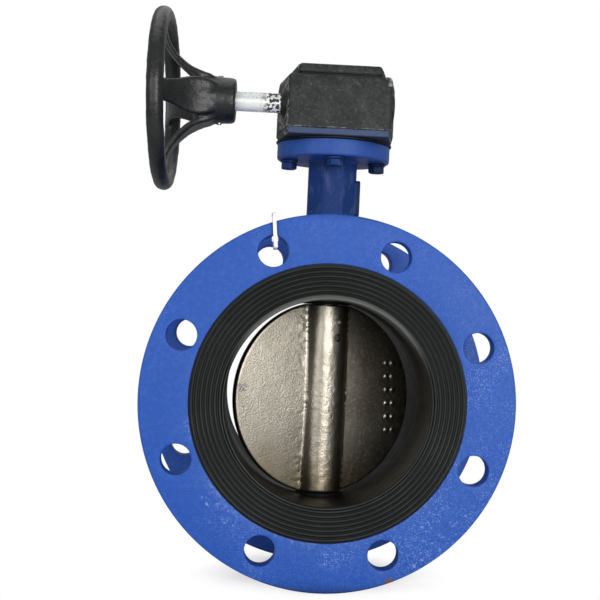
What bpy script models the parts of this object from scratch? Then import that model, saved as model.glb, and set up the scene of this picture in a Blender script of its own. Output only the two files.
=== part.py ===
# Double-flanged, rubber-seated butterfly valve, DN150, with a worm-gear operator and handwheel.
#
# Frame: origin on the stem axis, at the outer face of the plug in the bottom boss. +Z runs up the
# stem to the operator. +Y runs along the bore, away from the front flange, and the bore axis is
# BORE_Z above the origin. +X is to the right of the front flange, and the handwheel is on the -X
# side. Everything below is laid out about the point where the bore and stem axes cross, and hangs
# from the empty valve_frame, which stands at that point. Units are metres.

import math

import bmesh
import bpy
from mathutils import Matrix

for old in list(bpy.data.objects):
    bpy.data.objects.remove(old, do_unlink=True)

MM = 0.001
GAP = 0.3 * MM  # clearance between neighbouring pieces

# --- pipe flanges: DN150, eight bolts on a 240 mm circle, straddling the stem axis
FACE_TO_FACE = 140 * MM
FLANGE_R = 141 * MM
FLANGE_T = 16.5 * MM
FLANGE_CHAMFER = 1 * MM
BOLT_CIRCLE_R = 120 * MM
BOLT_HOLE_R = 11.5 * MM
BOLT_COUNT = 8
BARREL_R = 97 * MM
BARREL_FILLET = 4 * MM
BODY_BORE_R = 84.5 * MM
SEAT_RECESS_R = 103.8 * MM
SEAT_RECESS_D = 6 * MM

# --- rubber seat
SEAT_BORE_R = 77 * MM
SEAT_LIP = 2.5 * MM  # chamfer at each mouth of the seat's bore
SEAT_PROUD = 1 * MM
SEAT_LAND_Z = 74.4 * MM  # flat land that the end of the disc hub turns on
SEAT_LAND_R = 20.2 * MM

# --- disc and stems
DISC_R = 76.2 * MM
DISC_FLAT_Z = 74.0 * MM
DISC_HUB_R = 17.2 * MM
DISC_REST_DEG = 22.0  # the disc rests this far open from closed
STEM_R = 9.5 * MM
STEM_CHAMFER = 1 * MM
STEM_BORE_R = 9.85 * MM
BUSH_R = 12.5 * MM
NECK_BORE_R = 12.8 * MM
PIN_R = 3 * MM
PIN_X = 3.4 * MM
UPPER_PIN_Z = 48 * MM
LOWER_PIN_Z = -UPPER_PIN_Z - 6 * MM
PIN_END_Y = 14.4 * MM  # both pins end here; the upper one reaches as far the other way
LOWER_PIN_START_Y = -3.6 * MM

# --- neck, top flange (F07) and bottom boss
NECK_FLATS = 38 * MM
NECK_ROOT_Z = 91 * MM  # the neck and boss start this far out, inside the barrel wall
TOP_FLANGE_R = 45 * MM
TOP_FLANGE_Z0 = 188.5 * MM
TOP_FLANGE_Z1 = 201.5 * MM
TOP_BOLT_R = 35 * MM
TOP_HOLE_R = 5.2 * MM
BOSS_R = 19 * MM
BOSS_Z = -127 * MM
BORE_Z = 128 * MM  # height of the bore axis above the bottom plug's face

# --- worm gearing
OPERATOR_YAW_DEG = -1.5  # the operator is turned a little in its bolt clearance
MODULE = 2 * MM
WHEEL_TEETH = 24  # on a full wheel; the quadrant has QUADRANT_TEETH of them
WHEEL_R = MODULE * WHEEL_TEETH / 2
WORM_R = 9 * MM
CENTRE_DISTANCE = WHEEL_R + WORM_R
WORM_Z = 228 * MM
WORM_PITCH = math.pi * MODULE
PRESSURE_ANGLE = math.radians(20)
BACKLASH = 0.42 * MM  # taken off each tooth and each thread, along the pitch line, in total
TOOTH_HALF_WIDTH = (WORM_PITCH / 2 - BACKLASH / 2) / 2  # at the pitch line
ADDENDUM = 1.75 * MM
DEDENDUM = 2.4 * MM
KEY_HALF_WIDTH = 2.9 * MM
KEY_HALF_LENGTH = 7.8 * MM

# --- operator housing and cover
HOUSING_Z0 = 203.2 * MM
HOUSING_BAND_Z = 208.3 * MM
HOUSING_Z1 = 249.8 * MM
CAVITY_Z = 216 * MM
COVER_Z0 = 250.8 * MM
COVER_Z1 = 257.8 * MM
SCREW_SEAT_Z = COVER_Z1 - 3.9 * MM

# --- input shaft and handwheel, measured from the worm axis
INPUT_R = 7.5 * MM
WORM_BUSH_R = 11 * MM
WHEEL_RIM_X = -134 * MM
WHEEL_RIM_R = 64 * MM
WHEEL_RIM_TUBE = 6.5 * MM
WHEEL_PIN_X = -91 * MM
HUB_X0 = -112 * MM
HUB_X1 = -78.5 * MM
HUB_R = 17 * MM

# ---------------------------------------------------------------- materials
SHARP_ANGLE = math.radians(35)  # edges sharper than this stay crisp
FINISHES = {  # base colour, roughness, metallic
    "blue": ((0.015, 0.075, 0.42), 0.38, 0.0),
    "rubber": ((0.012, 0.013, 0.014), 0.5, 0.0),
    "nickel": ((0.42, 0.37, 0.30), 0.42, 1.0),
    "steel": ((0.50, 0.50, 0.50), 0.35, 1.0),
    "zinc": ((0.72, 0.73, 0.72), 0.25, 1.0),
    "black": ((0.012, 0.012, 0.012), 0.35, 0.0),
    "cast": ((0.035, 0.037, 0.035), 0.6, 0.0),
    "bronze": ((0.45, 0.28, 0.10), 0.4, 1.0),
    "nylon": ((0.85, 0.85, 0.82), 0.45, 0.0),
    "yellow": ((0.80, 0.52, 0.03), 0.45, 0.0),
}


def paint(name, colour, roughness, metallic):
    material = bpy.data.materials.new(name)
    material.use_nodes = True
    inputs = material.node_tree.nodes["Principled BSDF"].inputs
    inputs["Base Color"].default_value = (*colour, 1.0)
    inputs["Roughness"].default_value = roughness
    inputs["Metallic"].default_value = metallic
    material.diffuse_color = (*colour, 1.0)
    return material


def finish(name, piece, finish_name, parent):
    """Name a piece, give it its own material and hang it from its parent."""
    piece.name = name
    piece.data.name = name
    piece.data.materials.clear()
    piece.data.materials.append(paint(name + "_finish", *FINISHES[finish_name]))
    piece.data.shade_smooth()
    piece.data.set_sharp_from_angle(angle=SHARP_ANGLE)
    piece.parent = parent


# ---------------------------------------------------------------- points
def mm(points):
    """A table of millimetre pairs in metres."""
    return [(first * MM, second * MM) for first, second in points]


def on_circle(radius, count, phase=0.0):
    angles = [phase + 2 * math.pi * i / count for i in range(count)]
    return [(radius * math.cos(angle), radius * math.sin(angle)) for angle in angles]


def mirrored(half):
    """A half profile of (radius, height) points closed by its mirror image at -height."""
    return half + [(radius, -height) for radius, height in reversed(half)]


def rectangle(low, high, chamfer=0.0):
    (x0, y0), (x1, y1), c = low, high, chamfer
    if not c:
        return [(x0, y0), (x1, y0), (x1, y1), (x0, y1)]
    return [(x0 + c, y0), (x1 - c, y0), (x1, y0 + c), (x1, y1 - c),
            (x1 - c, y1), (x0 + c, y1), (x0, y1 - c), (x0, y0 + c)]


# ---------------------------------------------------------------- solids
# Each matrix lays a shape built along Z along the named axis. Under "X", the shape's own (x, y)
# become (y, z).
AXES = {
    "Z": Matrix.Identity(4),
    "Y": Matrix(((1, 0, 0, 0), (0, 0, 1, 0), (0, -1, 0, 0), (0, 0, 0, 1))),
    "X": Matrix(((0, 0, 1, 0), (1, 0, 0, 0), (0, 1, 0, 0), (0, 0, 0, 1))),
}


def linked(name, data=None):
    thing = bpy.data.objects.new(name, data)
    bpy.context.scene.collection.objects.link(thing)
    return thing


def to_piece(shape):
    """A bmesh made into an object, with its normals outwards."""
    bmesh.ops.remove_doubles(shape, verts=shape.verts, dist=1e-7)
    bmesh.ops.recalc_face_normals(shape, faces=shape.faces)
    inside_out = shape.calc_volume(signed=True) < 0
    mesh = bpy.data.meshes.new("part")
    shape.to_mesh(mesh)
    shape.free()
    if inside_out:
        mesh.flip_normals()
    return linked("part", mesh)


def turned(profile, axis="Z", steps=20, at=(0, 0, 0), phase=0.0):
    """A closed profile of (radius, height) points turned a full circle about an axis."""
    shape = bmesh.new()
    points = [shape.verts.new((radius * math.cos(phase), radius * math.sin(phase), height))
              for radius, height in profile]
    edges = []
    for start, end in zip(points, points[1:] + points[:1]):
        on_axis = [math.hypot(point.co.x, point.co.y) < 1e-9 for point in (start, end)]
        if not all(on_axis):
            edges.append(shape.edges.new((start, end)))
    bmesh.ops.spin(
        shape, geom=points + edges, cent=(0, 0, 0), axis=(0, 0, 1), dvec=(0, 0, 0),
        angle=2 * math.pi, steps=steps, use_merge=True, use_duplicate=False,
    )
    bmesh.ops.transform(shape, matrix=Matrix.Translation(at) @ AXES[axis], verts=shape.verts)
    return to_piece(shape)


def rod(radius, low, high, axis="Z", steps=20, at=(0, 0, 0), bevel=0.0, phase=0.0):
    """A solid round bar, chamfered at both ends if bevel is given."""
    if bevel:
        profile = [(0, low), (radius - bevel, low), (radius, low + bevel),
                   (radius, high - bevel), (radius - bevel, high), (0, high)]
    else:
        profile = [(0, low), (radius, low), (radius, high), (0, high)]
    return turned(profile, axis, steps, at, phase)


def rods(places, radius, low, high, axis="Z", steps=10, phase=0.0):
    return [rod(radius, low, high, axis, steps, at, phase=phase) for at in places]


def tube(inner, outer, low, high, axis="Z", steps=20, at=(0, 0, 0)):
    return turned([(inner, low), (outer, low), (outer, high), (inner, high)], axis, steps, at)


def torus(ring_radius, tube_radius, height, sides, axis="Z", steps=20):
    section = on_circle(tube_radius, sides, phase=math.pi / sides)
    return turned([(ring_radius + out, height + up) for out, up in section], axis, steps)


def lofted(rows, matrix, closed=False):
    """Rows of points skinned one to the next; closed joins the last row to the first."""
    shape = bmesh.new()
    rings = [[shape.verts.new(point) for point in row] for row in rows]
    if not closed:
        shape.faces.new(rings[0][::-1])
        shape.faces.new(rings[-1])
    following = rings[1:] + rings[:1] if closed else rings[1:]
    for near, far in zip(rings, following):
        for i in range(len(near)):
            j = (i + 1) % len(near)
            shape.faces.new((near[i], near[j], far[j], far[i]))
    bmesh.ops.transform(shape, matrix=matrix, verts=shape.verts)
    return to_piece(shape)


def prism(points, low, high, axis="Z", at=(0, 0, 0), top=None):
    """A polygon extruded along an axis; top, if given, is the polygon at the far end."""
    rows = [[(x, y, low) for x, y in points], [(x, y, high) for x, y in top or points]]
    return lofted(rows, Matrix.Translation(at) @ AXES[axis])


def block(low, high, chamfer=0.0):
    """A box between two corners, with its upright edges chamfered."""
    return prism(rectangle(low[:2], high[:2], chamfer), low[2], high[2])


# ---------------------------------------------------------------- cutting and joining
def combined(piece, tools, operation):
    """Apply one boolean after another, using up the tools."""
    for tool in tools:
        modifier = piece.modifiers.new("Boolean", "BOOLEAN")
        modifier.operation = operation
        modifier.solver = "EXACT"
        modifier.object = tool
        bpy.context.view_layer.update()
        graph = bpy.context.evaluated_depsgraph_get()
        mesh = bpy.data.meshes.new_from_object(piece.evaluated_get(graph))
        piece.modifiers.clear()
        piece.data = mesh
        bpy.data.objects.remove(tool, do_unlink=True)
    return piece


def cut(piece, *tools):
    return combined(piece, tools, "DIFFERENCE")


def join(piece, *tools):
    return combined(piece, tools, "UNION")


def keep(piece, tool):
    return combined(piece, [tool], "INTERSECT")


def gathered(pieces):
    """Several bodies that don't touch put in one mesh, to cut with them all at once."""
    shape = bmesh.new()
    for piece in pieces:
        shape.from_mesh(piece.data)
        bpy.data.objects.remove(piece, do_unlink=True)
    mesh = bpy.data.meshes.new("part")
    shape.to_mesh(mesh)
    shape.free()
    return linked("part", mesh)


def moved(piece, matrix):
    piece.data.transform(matrix)
    return piece


# ---------------------------------------------------------------- frames
def empty(name, parent=None, location=(0, 0, 0), turn=0.0):
    frame = linked(name)
    frame.location = location
    frame.rotation_euler = (0, 0, turn)
    frame.parent = parent
    return frame


operator_yaw = math.radians(OPERATOR_YAW_DEG)
WORM_AT = (0, -CENTRE_DISTANCE, WORM_Z)
valve_frame = empty("valve_frame", location=(0, 0, BORE_Z))
stem_axis = empty("stem_axis", valve_frame)  # the disc, stems and pointer turn about this
operator_frame = empty("operator_frame", valve_frame, turn=operator_yaw)
quadrant_axis = empty("quadrant_axis", operator_frame)
worm_axis = empty("worm_axis", operator_frame, location=WORM_AT)
disc_turn = Matrix.Rotation(math.radians(DISC_REST_DEG), 4, "Z")
operator_turn = Matrix.Rotation(operator_yaw, 4, "Z")

# ---------------------------------------------------------------- valve body
FACE_Y = FACE_TO_FACE / 2
FLANGE_BACK_Y = FACE_Y - FLANGE_T
SEAT_RECESS_Y = FACE_Y - SEAT_RECESS_D
TOP_HOLES = [(x, y, 0) for x, y in on_circle(TOP_BOLT_R, 4)]
FLANGE_HOLES = [(x, 0, z) for x, z in
                on_circle(BOLT_CIRCLE_R, BOLT_COUNT, phase=math.pi / BOLT_COUNT)]

body = turned(mirrored([
    (BODY_BORE_R, SEAT_RECESS_Y),
    (SEAT_RECESS_R, SEAT_RECESS_Y),
    (SEAT_RECESS_R, FACE_Y),
    (FLANGE_R - FLANGE_CHAMFER, FACE_Y),
    (FLANGE_R, FACE_Y - FLANGE_CHAMFER),
    (FLANGE_R, FLANGE_BACK_Y),
    (BARREL_R + BARREL_FILLET, FLANGE_BACK_Y),
    (BARREL_R, FLANGE_BACK_Y - BARREL_FILLET),
]), "Y", steps=48)
neck_corner_r = NECK_FLATS / 2 / math.cos(math.pi / 8)
neck = prism(on_circle(neck_corner_r, 8, phase=math.pi / 8), NECK_ROOT_Z, TOP_FLANGE_Z0 + 5 * MM)
top_flange = turned([
    (0, TOP_FLANGE_Z0),
    (TOP_FLANGE_R - 1 * MM, TOP_FLANGE_Z0),
    (TOP_FLANGE_R, TOP_FLANGE_Z0 + 1 * MM),
    (TOP_FLANGE_R, TOP_FLANGE_Z1),
    (0, TOP_FLANGE_Z1),
], steps=32)
boss = turned([
    (0, BOSS_Z),
    (BOSS_R - 2 * MM, BOSS_Z),
    (BOSS_R, BOSS_Z + 2 * MM),
    (BOSS_R, -NECK_ROOT_Z),
    (0, -NECK_ROOT_Z),
], steps=24)
# raised pad on the neck's right side
pad_outline = rectangle((-9 * MM, 145 * MM), (9 * MM, 174 * MM), chamfer=2 * MM)
pad = prism(pad_outline, 12 * MM, 22.2 * MM, "X")
join(body, neck, top_flange, boss, pad)

# each set of holes has its own phase, which turns its facets a little
cut(body,
    gathered([
        rod(NECK_BORE_R, 70 * MM, 215 * MM, phase=0.05),
        rod(NECK_BORE_R, -140 * MM, -70 * MM, phase=0.05),
    ]),
    gathered(rods(FLANGE_HOLES, BOLT_HOLE_R, -90 * MM, 90 * MM, "Y", steps=18, phase=0.06)),
    gathered(rods(TOP_HOLES, TOP_HOLE_R, 180 * MM, 210 * MM, steps=12, phase=0.08)))
finish("valve_body", body, "blue", valve_frame)

# ---------------------------------------------------------------- rubber seat
SEAT_FACE_Y = FACE_Y + SEAT_PROUD
SEAT_FLANGE_Y = SEAT_RECESS_Y + GAP
LAND_ROOT_Z = 80 * MM  # the lands start here, within the seat's wall

seat = turned(mirrored([
    (BODY_BORE_R - GAP, SEAT_FLANGE_Y),
    (SEAT_RECESS_R - GAP, SEAT_FLANGE_Y),
    (SEAT_RECESS_R - GAP, SEAT_FACE_Y),
    (SEAT_BORE_R + SEAT_LIP, SEAT_FACE_Y),
    (SEAT_BORE_R, SEAT_FACE_Y - SEAT_LIP),
]), "Y", steps=48)
join(seat,
     rod(SEAT_LAND_R, SEAT_LAND_Z, LAND_ROOT_Z, steps=24),
     rod(SEAT_LAND_R, -LAND_ROOT_Z, -SEAT_LAND_Z, steps=24))
cut(seat, gathered([
    rod(STEM_BORE_R, 70 * MM, 92 * MM),
    rod(STEM_BORE_R, -92 * MM, -70 * MM),
]))
finish("seat_liner", seat, "rubber", valve_frame)


# ---------------------------------------------------------------- disc, stems and pins
def upper_pin_hole():
    return rod(PIN_R + GAP, -25 * MM, 25 * MM, "Y", 12, (PIN_X, 0, UPPER_PIN_Z))


def lower_pin_hole():
    return rod(PIN_R + GAP, -4 * MM, 25 * MM, "Y", 12, (PIN_X, 0, LOWER_PIN_Z))


# half section of the disc, drawn closed: (radius, y), in mm
DISC_HALF = [(0, -6.5), (75, -3.8), (DISC_R / MM, -2.4)]
disc = turned(mirrored(mm(DISC_HALF)), "Y", steps=48)
join(disc, rod(DISC_HUB_R, -76 * MM, 76 * MM, steps=24))
keep(disc, block((-90 * MM, -30 * MM, -DISC_FLAT_Z), (90 * MM, 30 * MM, DISC_FLAT_Z)))
cut(disc, gathered([
    rod(STEM_BORE_R, 22 * MM, 80 * MM),
    rod(STEM_BORE_R, -80 * MM, -34 * MM),
]))
# the pins lie square to the disc and pass through the stem
cut(disc, gathered([upper_pin_hole(), lower_pin_hole()]))
finish("disc", moved(disc, disc_turn), "nickel", stem_axis)


def stem(low, high):
    return turned([
        (0, low),
        (STEM_R - STEM_CHAMFER, low),
        (STEM_R, low + STEM_CHAMFER),
        (STEM_R, high - STEM_CHAMFER),
        (STEM_R - STEM_CHAMFER, high),
        (0, high),
    ])


upper_stem = stem(23 * MM, 259.2 * MM)
cut(upper_stem, upper_pin_hole(), rod(2.3 * MM, 245 * MM, 270 * MM, steps=12))
moved(upper_stem, disc_turn)
# keyway for the quadrant, square to the operator
keyway_half_width = KEY_HALF_WIDTH + GAP
keyway_half_length = KEY_HALF_LENGTH + 0.5 * MM
keyway = block((-keyway_half_width, 5.8 * MM, WORM_Z - keyway_half_length),
               (keyway_half_width, 12 * MM, WORM_Z + keyway_half_length))
cut(upper_stem, moved(keyway, operator_turn))
finish("upper_stem", upper_stem, "steel", stem_axis)

lower_stem = cut(stem(-113 * MM, -35 * MM), lower_pin_hole())
finish("lower_stem", moved(lower_stem, disc_turn), "steel", stem_axis)

for name, start_y, z in (
    ("disc_pin_upper", -PIN_END_Y, UPPER_PIN_Z),
    ("disc_pin_lower", LOWER_PIN_START_Y, LOWER_PIN_Z),
):
    pin = rod(PIN_R, start_y, PIN_END_Y, "Y", 12, (PIN_X, 0, z), bevel=0.5 * MM)
    finish(name, moved(pin, disc_turn), "steel", stem_axis)

# ---------------------------------------------------------------- bearings and seals on the stems
for name, low, high in (
    ("stem_bush_middle", 88 * MM, 112 * MM),
    ("stem_bush_upper", 168 * MM, 196 * MM),
    ("stem_bush_lower", -112 * MM, -88 * MM),
):
    finish(name, tube(STEM_R + GAP, BUSH_R, low, high), "bronze", valve_frame)

ORING_R = (STEM_R + NECK_BORE_R) / 2  # midway between the stem and the neck's bore
ORING_TUBE_R = 1.3 * MM
for name, z in (("stem_oring_lower", 118 * MM), ("stem_oring_upper", 160 * MM)):
    finish(name, torus(ORING_R, ORING_TUBE_R, z, sides=5), "rubber", valve_frame)

plug = turned([
    (0, -BORE_Z),
    (BUSH_R - 1.5 * MM, -BORE_Z),
    (BUSH_R, -BORE_Z + 1.5 * MM),
    (BUSH_R, -115.5 * MM),
    (BUSH_R - 1 * MM, -114.5 * MM),
    (0, -114.5 * MM),
])
SPANNER_HOLES = [(-7 * MM, 0, 0), (7 * MM, 0, 0)]
cut(plug, gathered(rods(SPANNER_HOLES, 1.6 * MM, -135 * MM, -123 * MM)))
finish("thrust_plug", plug, "steel", valve_frame)

# ---------------------------------------------------------------- operator housing
# plan outline (x, y), in mm, from the front left corner round to the right
OUTLINE = [
    (-38.2, -49.0), (40.8, -49.0), (46.6, -8.0), (48.0, 18.0), (46.5, 38.0),
    (39.0, 47.5), (-37.0, 47.5), (-44.5, 38.0), (-46.5, 18.0), (-45.6, -8.0),
]
COVER_SCREWS = [(x, y, 0) for x, y in mm([(-27, -39.5), (27, -39.5), (36.5, 36), (-35.5, 36)])]
STOP_X = 19 * MM
STOPS = {"open": (STOP_X, 0, WORM_Z), "closed": (-STOP_X, 0, WORM_Z)}


def outline(inset=0.0):
    """The housing's plan, moved inwards by inset mm along each edge's normal."""
    lines = []
    for (x0, y0), (x1, y1) in zip(OUTLINE, OUTLINE[1:] + OUTLINE[:1]):
        dx, dy = x1 - x0, y1 - y0
        length = math.hypot(dx, dy)
        lines.append((x0 - dy / length * inset, y0 + dx / length * inset, dx, dy))
    points = []
    for i, (next_x, next_y, next_dx, next_dy) in enumerate(lines):
        x, y, dx, dy = lines[i - 1]
        # how far along the previous edge it meets this one
        along = ((next_x - x) * next_dy - (next_y - y) * next_dx) / (dx * next_dy - dy * next_dx)
        points.append((x + dx * along, y + dy * along))
    return mm(points)


housing = prism(outline(), HOUSING_BAND_Z, HOUSING_Z1 - 2.5 * MM)
shoulder = prism(outline(0.02), HOUSING_Z1 - 2.6 * MM, HOUSING_Z1, top=outline(2.2))
band = prism(outline(1.3), HOUSING_Z0, HOUSING_BAND_Z + 2 * MM)
join(housing, shoulder, band)

# the cavity's parts have slightly different floors and tops, so that no faces coincide
cavity = rod(29.5 * MM, CAVITY_Z, 260 * MM, steps=28)
worm_trough = block((-17.6 * MM, -45 * MM, CAVITY_Z + 0.4 * MM), (17.6 * MM, -12 * MM, 261 * MM))
back_room = block((-30 * MM, 4 * MM, CAVITY_Z + 0.2 * MM), (30 * MM, 39 * MM, 262 * MM), 3 * MM)
join(cavity, worm_trough, back_room)
cut(housing,
    cavity,
    rod(WORM_BUSH_R + GAP, -60 * MM, 60 * MM, "X", at=WORM_AT),
    rod(10.6 * MM, 195 * MM, 230 * MM),  # stem passage
    gathered(rods(TOP_HOLES, 4.3 * MM, 195 * MM, 213.6 * MM)
             + rods(COVER_SCREWS, 3.3 * MM, 241.4 * MM, 260 * MM)
             + rods(STOPS.values(), 3.3 * MM, 30 * MM, 60 * MM, "Y")))
finish("gearbox_housing", housing, "cast", operator_frame)

seal = tube(30 * MM, 46.3 * MM, TOP_FLANGE_Z1 + 0.25 * MM, HOUSING_Z0 - 0.25 * MM, steps=32)
cut(seal, gathered(rods(TOP_HOLES, TOP_HOLE_R, 195 * MM, 210 * MM)))
finish("gearbox_seal_ring", seal, "rubber", operator_frame)

# ---------------------------------------------------------------- operator cover
# plan outline (x, y), in mm, from the front left corner round to the right
LID = mm([
    (-30.2, -47.2), (32.4, -47.2), (35.4, -33.0), (41.8, 6.0), (45.2, 22.0), (44.2, 38.0),
    (38.0, 45.6), (-36.0, 45.6), (-42.2, 38.0), (-43.4, 22.0), (-39.6, 6.0), (-33.2, -34.0),
])
SCREW_HOLE_R = 3.4 * MM


def lid_outline(scale):
    return [(x * scale, y * scale) for x, y in LID]


cover = prism(LID, COVER_Z0, COVER_Z1 - 1.2 * MM)
join(cover, prism(lid_outline(0.999), COVER_Z1 - 1.5 * MM, COVER_Z1, top=lid_outline(0.965)))
cut(cover,
    rod(10.2 * MM, 240 * MM, 270 * MM),
    gathered(rods(COVER_SCREWS, SCREW_HOLE_R, 240 * MM, 270 * MM)),
    # the screw heads sit sunk in the cover
    gathered(rods(COVER_SCREWS, 5.3 * MM, SCREW_SEAT_Z, 270 * MM, steps=14, phase=0.05)))
finish("gearbox_cover", cover, "cast", operator_frame)

gasket = prism(lid_outline(0.985), HOUSING_Z1 + 0.2 * MM, COVER_Z0 - 0.2 * MM)
cut(gasket,
    rod(26 * MM, 240 * MM, 260 * MM),
    gathered(rods(COVER_SCREWS, SCREW_HOLE_R, 240 * MM, 260 * MM)))
finish("cover_gasket", gasket, "rubber", operator_frame)


def cover_screw(at):
    """A socket-head screw."""
    shank_r, head_r, foot_z = 3 * MM, 5 * MM, 242.4 * MM
    head_z0, head_z1 = SCREW_SEAT_Z + 0.3 * MM, COVER_Z1 - 0.3 * MM
    screw = turned([
        (0, foot_z),
        (shank_r, foot_z),
        (shank_r, head_z0),
        (head_r, head_z0),
        (head_r, head_z1 - 0.5 * MM),
        (head_r - 0.6 * MM, head_z1),
        (0, head_z1),
    ], steps=12, at=at)
    socket = prism(on_circle(2.6 * MM, 6), COVER_Z1 - 2.3 * MM, COVER_Z1 + 9 * MM, at=at)
    return cut(screw, socket)


for i, at in enumerate(COVER_SCREWS, 1):
    finish(f"cover_screw_{i}", cover_screw(at), "steel", operator_frame)

# ---------------------------------------------------------------- bolts under the top flange
for i, at in enumerate(TOP_HOLES, 1):
    washer = tube(4.3 * MM, 7.1 * MM, 186.7 * MM, TOP_FLANGE_Z0 - GAP, steps=16, at=at)
    finish(f"mounting_washer_{i}", washer, "blue", operator_frame)
    bolt = rod(4 * MM, 184 * MM, 213 * MM, steps=12, at=at)
    hexagon = on_circle(6.6 * MM, 6, phase=math.radians(10))
    join(bolt, prism(hexagon, 181.2 * MM, 186.4 * MM, at=at))
    finish(f"mounting_bolt_{i}", bolt, "blue", operator_frame)

# ---------------------------------------------------------------- worm quadrant
QUADRANT_TEETH = 9
FIRST_TOOTH = -5.5  # in tooth pitches round from the worm, which lies towards -Y
FACE_HALF_WIDTH = 5.5 * MM
LEAD_ANGLE = math.atan(WORM_PITCH / (2 * math.pi * WORM_R))
WHEEL_BASE_R = WHEEL_R * math.cos(PRESSURE_ANGLE)


def involute(angle):
    return math.tan(angle) - angle


def tooth_half_angle(radius):
    """Half the angle that a tooth of the quadrant takes up at a radius."""
    here = math.acos(WHEEL_BASE_R / max(radius, WHEEL_BASE_R))
    return TOOTH_HALF_WIDTH / WHEEL_R + involute(PRESSURE_ANGLE) - involute(here)


def quadrant_outline():
    """The teeth in plan, closed by a point on the stem axis."""
    radii = [WHEEL_R - DEDENDUM, WHEEL_BASE_R + 0.05 * MM, WHEEL_R, WHEEL_R + ADDENDUM]
    pitch = 2 * math.pi / WHEEL_TEETH
    points = []
    for i in range(QUADRANT_TEETH):
        centre = math.radians(-90) + (FIRST_TOOTH + i) * pitch
        flanks = [(radius, centre - tooth_half_angle(radius)) for radius in radii]
        flanks += [(radius, centre + tooth_half_angle(radius)) for radius in reversed(radii)]
        points += [(radius * math.cos(angle), radius * math.sin(angle))
                   for radius, angle in flanks]
    return points + [(0, 0)]


def quadrant_teeth():
    """The outline carried up in three layers, turned to follow the worm's lead."""
    rows = []
    for height in (-FACE_HALF_WIDTH, 0, FACE_HALF_WIDTH):
        turn = height * math.tan(LEAD_ANGLE) / WHEEL_R
        cosine, sine = math.cos(turn), math.sin(turn)
        rows.append([(x * cosine - y * sine, x * sine + y * cosine, WORM_Z + height)
                     for x, y in quadrant_outline()])
    return lofted(rows, Matrix.Identity(4))


quadrant = quadrant_teeth()
join(quadrant, rod(16.5 * MM, WORM_Z - 9 * MM, WORM_Z + 9 * MM, steps=24, bevel=1 * MM))
cut(quadrant,
    rod(STEM_BORE_R, 210 * MM, 245 * MM),
    block((-3.3 * MM, 5 * MM, 210 * MM), (3.3 * MM, 12.6 * MM, 245 * MM)))  # keyway
finish("worm_quadrant", quadrant, "bronze", quadrant_axis)

key = block((-KEY_HALF_WIDTH, 6.2 * MM, WORM_Z - KEY_HALF_LENGTH),
            (KEY_HALF_WIDTH, 12.2 * MM, WORM_Z + KEY_HALF_LENGTH))
finish("stem_key", key, "steel", quadrant_axis)

# ---------------------------------------------------------------- worm and input shaft
WORM_LEN = 26 * MM
THREAD_STEPS = 20
THREAD_TURNS = 8  # longer than the worm, which is trimmed to length
COLLAR_R = 9.4 * MM
COLLAR_X0 = 11.7 * MM  # each collar overlaps an end of the worm
COLLAR_X1 = 17 * MM
WAIST_R = 5 * MM  # the shaft inside the worm
JOURNAL_R = 6 * MM  # the shaft's right-hand end
INPUT_END_X = -111 * MM
JOURNAL_END_X = 36 * MM


def worm_thread():
    """A right-hand single-start thread: the rack profile carried round, one pitch per turn."""
    root, crest = WORM_R - DEDENDUM, WORM_R + ADDENDUM
    slope = math.tan(PRESSURE_ANGLE)
    root_half = TOOTH_HALF_WIDTH + DEDENDUM * slope
    crest_half = TOOTH_HALF_WIDTH - ADDENDUM * slope
    tooth = [(-root_half, root), (-crest_half, crest), (crest_half, crest), (root_half, root)]
    pitches = range(-THREAD_TURNS // 2, THREAD_TURNS // 2)
    ends = (pitches[0], pitches[-1])  # the first and last pitch are left plain
    rail = [(x + k * WORM_PITCH, root if k in ends else radius)
            for k in pitches for x, radius in tooth]
    shape = bmesh.new()
    rows = []
    for i in range(THREAD_STEPS):
        angle = 2 * math.pi * i / THREAD_STEPS
        shift = WORM_PITCH * i / THREAD_STEPS
        rows.append([
            shape.verts.new((x + shift, radius * math.cos(angle), radius * math.sin(angle)))
            for x, radius in rail])
    for i, here in enumerate(rows):
        there = rows[(i + 1) % THREAD_STEPS]
        # the last row meets the first one pitch further along
        skip = len(tooth) if i == THREAD_STEPS - 1 else 0
        for j in range(len(rail) - 1 - skip):
            shape.faces.new((here[j], here[j + 1], there[j + 1 + skip], there[j + skip]))
    # close both ends on the axis: each open rim is one loop
    for side, reach in ((-1, THREAD_TURNS / 2 + 1.2), (1, THREAD_TURNS / 2 + 1.7)):
        tip = shape.verts.new((side * reach * WORM_PITCH, 0, 0))
        for edge in [edge for edge in shape.edges if edge.is_boundary]:
            start, end = edge.verts
            if (start.co.x + end.co.x) * side > 0:
                shape.faces.new((start, end, tip))
    return to_piece(shape)


trim_r = WORM_R + ADDENDUM - 0.05 * MM
thread = keep(worm_thread(), rod(trim_r, -WORM_LEN / 2, WORM_LEN / 2, "X"))
shaft = turned([
    (0, INPUT_END_X),
    (INPUT_R - 0.8 * MM, INPUT_END_X),
    (INPUT_R, INPUT_END_X + 1 * MM),
    (INPUT_R, -COLLAR_X1),
    (COLLAR_R, -COLLAR_X1),
    (COLLAR_R, -COLLAR_X0),
    (WAIST_R, -COLLAR_X0),
    (WAIST_R, COLLAR_X0),
    (COLLAR_R, COLLAR_X0),
    (COLLAR_R, COLLAR_X1),
    (JOURNAL_R, COLLAR_X1),
    (JOURNAL_R, JOURNAL_END_X - 1 * MM),
    (JOURNAL_R - 0.8 * MM, JOURNAL_END_X),
    (0, JOURNAL_END_X),
], "X")
join(shaft, thread)
cut(shaft, rod(2.2 * MM, -30 * MM, 30 * MM, steps=12, at=(WHEEL_PIN_X, 0, 0)))
finish("worm_shaft", shaft, "zinc", worm_axis)

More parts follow.
